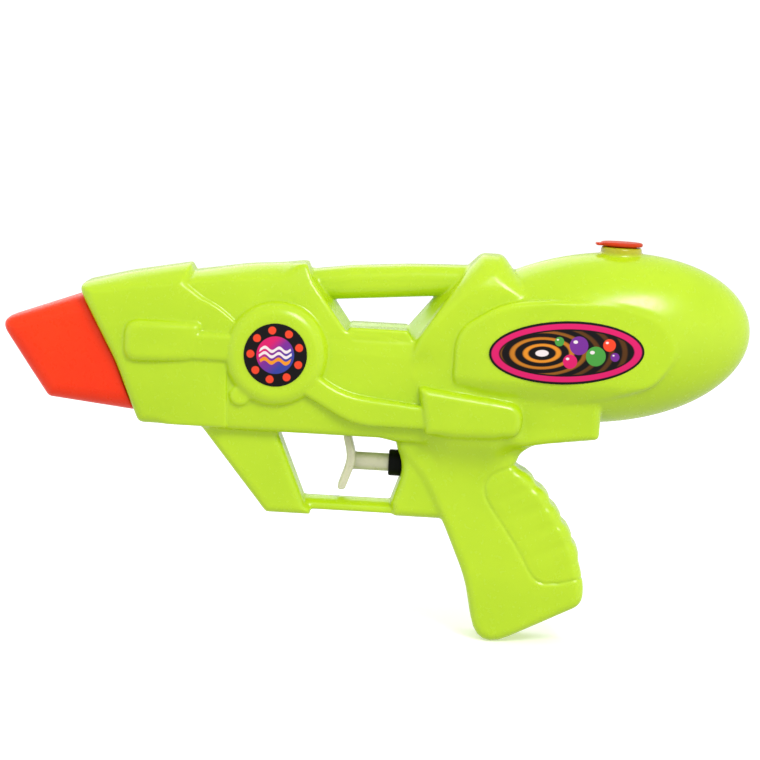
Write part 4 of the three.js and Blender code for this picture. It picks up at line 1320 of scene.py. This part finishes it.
    def openings(self, grid, form):
        """The neck's bore and the hole that the pump sits in."""
        bore = rod(grid, "z", NECK_X, NECK_BORE, TANK_CENTRE[1], NECK_TOP + NECK_TOOL_RISE)
        start, end = COLLAR_FRONT - PUMP_HOLE_LEAD, COLLAR_FRONT + PUMP_HOLE_DEPTH
        return cut(cut(form, bore), rod(grid, "x", 0, COLLAR_RADIUS + SEAT_GAP, start, end))


class SQUIRTER_OT_tip(bpy.types.Operator):
    """Mould the hollow orange tip and its jet"""

    bl_idname = "squirter.tip"
    bl_label = "Mould tip"

    def execute(self, context):
        sizes, colours = settings(context).sizes, settings(context).colours
        grid = Grid("muzzle_tip", sizes.tip_step / MM)
        narrow = fade_straight(grid.flat_x, 0, TIP_BACK, TIP_NOSE_HALF, TIP_HALF)
        form = slab(grid, outline_distance(grid, TIP), narrow, TIP_EDGE_SHARE * narrow)
        form = cut(form, form + sizes.wall / MM)
        form = cut(form, rod(grid, "x", NOSE_Z, JET_HOLE, -JET_HOLE_END, JET_HOLE_END))
        barrel = slab(grid, outline_distance(grid, FRONT_BLOCK), FRONT_HALF, TIP_SEAT_EDGE) - SEAT_GAP
        form = cut(form, barrel)
        material = tip_plastic(colours)
        made = moulded_object("moulded_tip", form, grid, material, sizes.seam / MM)
        stand_for(made, "shell", "muzzle_tip")
        centre = DATUM + np.array([0, 0, NOSE_Z * MM])
        jet = turned_object("turned_jet", JET_PROFILE, centre, material)
        stand_for(jet, "shell", "nozzle_jet")
        return {"FINISHED"}


class SQUIRTER_OT_trigger(bpy.types.Operator):
    """Mould the trigger: a bow for the finger and the plunger rod, and turn the collar that it slides in"""

    bl_idname = "squirter.trigger"
    bl_label = "Mould trigger"

    def execute(self, context):
        sizes, colours = settings(context).sizes, settings(context).colours
        grid = Grid("trigger", sizes.small_step / MM, margin=SMALL_MARGIN)
        form = slab(grid, outline_distance(grid, BOW), BOW_HALF, BOW_EDGE)
        root = BOW[1][0] + ROD_SET_IN
        shaft = rod(grid, "x", 0, ROD_RADIUS, root, COLLAR_FRONT + ROD_END, ROD_EDGE)
        pin = rod(grid, "x", 0, PIN_RADIUS, root, COLLAR_FRONT + PIN_END, ROD_EDGE)
        form = join(join(form, shaft, ROD_FILLET), pin, PIN_FILLET)
        material = natural_plastic(colours)
        made = moulded_object("moulded_trigger", form, grid, material)
        stand_for(made, "trigger", "trigger")
        centre = DATUM + np.array([COLLAR_FRONT * MM, 0, 0])
        collar = turned_object("turned_collar", COLLAR_PROFILE, centre, collar_plastic(colours))
        stand_for(collar, "shell", "pump_collar")
        return {"FINISHED"}


class SQUIRTER_OT_plug(bpy.types.Operator):
    """Mould the stopper of the filler neck"""

    bl_idname = "squirter.plug"
    bl_label = "Mould plug"

    def execute(self, context):
        sizes, colours = settings(context).sizes, settings(context).colours
        grid = Grid("filler_plug", sizes.small_step / MM, margin=SMALL_MARGIN)
        under = NECK_TOP + SEAT_GAP
        top = under + PLUG_TAB_THICK
        radius = NECK_BORE - SEAT_GAP
        head = rod(grid, "z", NECK_X, PLUG_HEAD, under, under + PLUG_HEAD_THICK, PLUG_HEAD_EDGE)
        end = under + PLUG_STEM_INTO_HEAD
        stem = rod(grid, "z", NECK_X, radius, NECK_TOP - PLUG_STEM, end, PLUG_STEM_EDGE)
        bore = rod(grid, "z", NECK_X, radius - PLUG_WALL, NECK_TOP - PLUG_BORE, under)
        form = join(head, cut(stem, bore), PLUG_STEM_FILLET)
        tip = NECK_X - PLUG_TAB
        outline = [
            (tip, under, PLUG_TAB_EDGE),
            (NECK_X, under, 0),
            (NECK_X, top, 0),
            (tip, top, PLUG_TAB_EDGE),
        ]
        tab = slab(grid, outline_distance(grid, outline), PLUG_TAB_HALF, PLUG_TAB_EDGE)
        form = join(form, tab, PLUG_TAB_FILLET)
        made = moulded_object("moulded_plug", form, grid, stopper_rubber(colours))
        stand_for(made, "plug", "filler_plug")
        return {"FINISHED"}


class SQUIRTER_OT_stickers(bpy.types.Operator):
    """Put the printed stickers on both sides"""

    bl_idname = "squirter.stickers"
    bl_label = "Put on stickers"

    def execute(self, context):
        colours = settings(context).colours
        round_ink, oval_ink = round_print(colours), oval_print(colours)
        for side, out in (("left", -1), ("right", 1)):
            self.sticker(f"round_label_{side}", ROUND_HALVES, 0, out, round_ink, "round_sticker")
            self.sticker(f"oval_label_{side}", OVAL_HALVES, OVAL_TILT, out, oval_ink, "oval_sticker")
        return {"FINISHED"}

    def sticker(self, node, halves, tilt, out, material, slot):
        """One thin oval with a rounded rim, printed on its outer face."""
        low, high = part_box(node)
        thick = high.y - low.y
        shape = bmesh.new()
        size = Matrix.Diagonal((halves[0] * MM, halves[1] * MM, 1, 1))
        bmesh.ops.create_circle(shape, cap_ends=True, segments=STICKER_SIDES, radius=1, matrix=size)
        grown = bmesh.ops.extrude_face_region(shape, geom=shape.faces[:])["geom"]
        face = next(part for part in grown if isinstance(part, bmesh.types.BMFace))
        bmesh.ops.translate(shape, verts=face.verts, vec=(0, 0, thick))
        round_rim = {"offset": STICKER_BEVEL * thick, "segments": 3, "profile": 0.5, "affect": "EDGES"}
        bmesh.ops.bevel(shape, geom=face.edges[:], **round_rim)
        bmesh.ops.recalc_face_normals(shape, faces=shape.faces[:])
        mesh = bpy.data.meshes.new(f"printed_{node}")
        shape.to_mesh(mesh)
        shape.free()
        mesh.shade_smooth()
        mesh.set_sharp_from_angle(angle=SMOOTH_ANGLE)
        mesh.materials.append(material)
        made = bpy.data.objects.new(mesh.name, mesh)
        middle = (low + high) / 2
        inner = high.y if out < 0 else low.y
        facing = Matrix(((-out, 0, 0, 0), (0, 0, out, 0), (0, 1, 0, 0), (0, 0, 0, 1)))
        place = Matrix.Translation((middle.x, inner, middle.z))
        made.matrix_world = place @ facing @ Matrix.Rotation(-out * tilt, 4, "Z")
        bpy.context.scene.collection.objects.link(made)
        stand_for(made, "shell", node)


class SQUIRTER_OT_works(bpy.types.Operator):
    """Wind the springs and give the pump, valves and hoses inside the body their finishes"""

    bl_idname = "squirter.works"
    bl_label = "Finish inner works"

    def execute(self, context):
        milky, steel = natural_plastic(settings(context).colours), spring_steel()
        finishes = [
            (milky, ("pump_cylinder", "valve_block", "inlet_seat", "outlet_cap", "suction_strainer")),
            (seal_rubber(), ("front_grommet", "rod_seal", "piston_seal")),
            (steel, ("inlet_ball", "outlet_ball")),
            (clear_hose(), ("delivery_tube", "suction_tube")),
        ]
        for material, nodes in finishes:
            for node in nodes:
                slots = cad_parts[node].data.materials
                slots.clear()
                slots.append(material)
        for node, joint, axis, turns, wire in SPRINGS:
            self.spring(node, joint, axis, turns, wire * MM, steel)
        return {"FINISHED"}

    def spring(self, node, joint, axis, turns, wire, steel):
        """A coil with flat ends for a packed spring."""
        low, high = [np.array(corner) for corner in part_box(node)]
        length = high[axis] - low[axis]
        radius = (high[1] - low[1]) / 2 - wire
        gone = np.linspace(0, turns, COIL_POINTS * turns + 1)
        share = np.clip((gone - FLAT_TURNS) / (turns - 2 * FLAT_TURNS), 0, 1)
        level = low[axis] + wire + (length - 2 * wire) * share
        path = np.tile((low + high) / 2, (len(gone), 1))
        side, up = (1, 2) if axis == 0 else (0, 1)
        across = np.zeros_like(path)
        across[:, side], across[:, up] = np.cos(2 * math.pi * gone), np.sin(2 * math.pi * gone)
        path += radius * across
        path[:, axis] = level
        made = wound_object(f"wound_{node}", path, across, wire, steel)
        stand_for(made, "shell", node)
        anchor = (low + high) / 2
        anchor[axis] = high[axis]
        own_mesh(made)


class SQUIRTER_OT_stage(bpy.types.Operator):
    """Set up the pale floor, the soft light and the camera"""

    bl_idname = "squirter.stage"
    bl_label = "Set stage"

    def execute(self, context):
        view = settings(context).view
        self.floor()
        self.lights(context.scene, view)
        self.camera(context.scene, view)
        return {"FINISHED"}

    def floor(self):
        """A wide pale floor under the toy's lowest point, and a round white backdrop far out around it."""
        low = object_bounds()[0][2]
        reach = FLOOR_REACH
        corners = [(-reach, -reach), (reach, -reach), (reach, reach), (-reach, reach)]
        points = np.array([(x, y, low) for x, y in corners])
        material, _, _ = plain_material(
            "Pale floor",
            Base_Color=(0.86, 0.86, 0.86, 1),
            Roughness=0.9,
            Emission_Color=(1, 1, 1, 1),
            Emission_Strength=0.26,
        )
        self.only_seen(mesh_object("floor", points, np.array([[0, 1, 2, 3]]), material))
        sides = BACKDROP_SIDES
        angles = np.linspace(0, 2 * math.pi, sides, endpoint=False)
        ring = np.stack([np.cos(angles), np.sin(angles), np.zeros(sides)], axis=1) * BACKDROP_SHARE * reach
        foot = np.arange(sides)
        quads = np.stack([foot, np.roll(foot, -1), np.roll(foot, -1) + sides, foot + sides], axis=1)
        points = np.concatenate([ring + (0, 0, low), ring + (0, 0, low + reach)])
        white, _, _ = plain_material("White backdrop", Emission_Color=(1, 1, 1, 1), Emission_Strength=1.0)
        self.only_seen(mesh_object("backdrop", points, quads, white))

    def only_seen(self, made):
        """The camera sees this part of the stage, and it neither lights the toy nor shades it."""
        made.visible_diffuse = False
        made.visible_glossy = False
        made.visible_transmission = False
        made.visible_shadow = False
        made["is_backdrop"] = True

    def lights(self, scene, view):
        """A white surround, dimmer straight ahead and behind, and a softbox above each side of the toy."""
        world = bpy.data.worlds.new("White surround")
        world.use_nodes = True
        tree = world.node_tree
        direction = tree.nodes.new("ShaderNodeSeparateXYZ")
        tree.links.new(tree.nodes.new("ShaderNodeTexCoord").outputs["Generated"], direction.inputs[0])
        height = direction.outputs["Z"]
        up = map_range(tree, height, *UP_ZONE, view.horizon, view.sky)
        down = map_range(tree, height, *DOWN_ZONE, view.below - view.horizon, 0)
        sideways = math_node(tree, "ABSOLUTE", direction.outputs["Y"])
        shade = map_range(tree, sideways, *AHEAD_ZONE, 1, view.front)
        strength = math_node(tree, "MULTIPLY", math_node(tree, "ADD", up, down), shade)
        back = tree.nodes["Background"]
        back.inputs["Color"].default_value = (1, 1, 1, 1)
        tree.links.new(strength, back.inputs["Strength"])
        scene.world = world
        self.panel("softbox", *NEAR_BOX, view.key)
        self.panel("far softbox", *FAR_BOX, view.far_key)

    def panel(self, name, place, size, power):
        """One area light that faces the toy."""
        light = bpy.data.lights.new(name, "AREA")
        light.shape = "RECTANGLE"
        light.size, light.size_y = size
        light.energy = power
        lamp = bpy.data.objects.new(name, light)
        lamp.location = place
        lamp.rotation_euler = (-Vector(place)).to_track_quat("-Z", "Y").to_euler()
        bpy.context.scene.collection.objects.link(lamp)

    def camera(self, scene, view):
        """The camera of the photograph's side view."""
        camera = bpy.data.cameras.new("camera")
        camera.lens = view.lens
        camera.sensor_width = SENSOR
        camera.clip_start = NEAREST
        back = Vector((0, -math.cos(view.elevation), math.sin(view.elevation)))
        turn = (-back).to_track_quat("-Z", "Y").to_matrix().to_4x4()
        eye = bpy.data.objects.new("camera", camera)
        place = Matrix.Translation(Vector(view.aim) + back * view.distance)
        eye.matrix_world = place @ turn @ Matrix.Rotation(view.roll, 4, "Z")
        scene.collection.objects.link(eye)
        scene.camera = eye
        scene.view_settings.view_transform = "Standard"


class SQUIRTER_PT_panel(bpy.types.Panel):
    """The squirter's settings and pieces"""

    bl_idname = "SQUIRTER_PT_panel"
    bl_label = "Water squirter"
    bl_space_type = "VIEW_3D"
    bl_region_type = "UI"
    bl_category = "Squirter"

    def draw(self, context):
        given = settings(context)
        for group in (given.sizes, given.colours, given.view):
            box = self.layout.box()
            for label in group.__annotations__:
                box.prop(group, label)
        for operator in OPERATORS:
            self.layout.operator(operator.bl_idname)


OPERATORS = [
    SQUIRTER_OT_body,
    SQUIRTER_OT_tip,
    SQUIRTER_OT_trigger,
    SQUIRTER_OT_plug,
    SQUIRTER_OT_stickers,
    SQUIRTER_OT_works,
    SQUIRTER_OT_stage,
]
CLASSES = [SquirterSizes, SquirterColours, SquirterView, SquirterSettings, *OPERATORS, SQUIRTER_PT_panel]


def register():
    """Makes the classes and the settings known to Blender."""
    for cls in CLASSES:
        bpy.utils.register_class(cls)
    bpy.types.Scene.squirter = bpy.props.PointerProperty(
        type=SquirterSettings, name="Squirter", description="All settings of the squirter"
    )


def unregister():
    """Takes the classes and the settings out again."""
    del bpy.types.Scene.squirter
    for cls in reversed(CLASSES):
        bpy.utils.unregister_class(cls)


def main():
    """Builds every piece and the stage."""
    register()
    bpy.ops.squirter.body()
    bpy.ops.squirter.tip()
    bpy.ops.squirter.trigger()
    bpy.ops.squirter.plug()
    bpy.ops.squirter.stickers()
    bpy.ops.squirter.works()
    bpy.ops.squirter.stage()


if __name__ == "__main__":
    main()
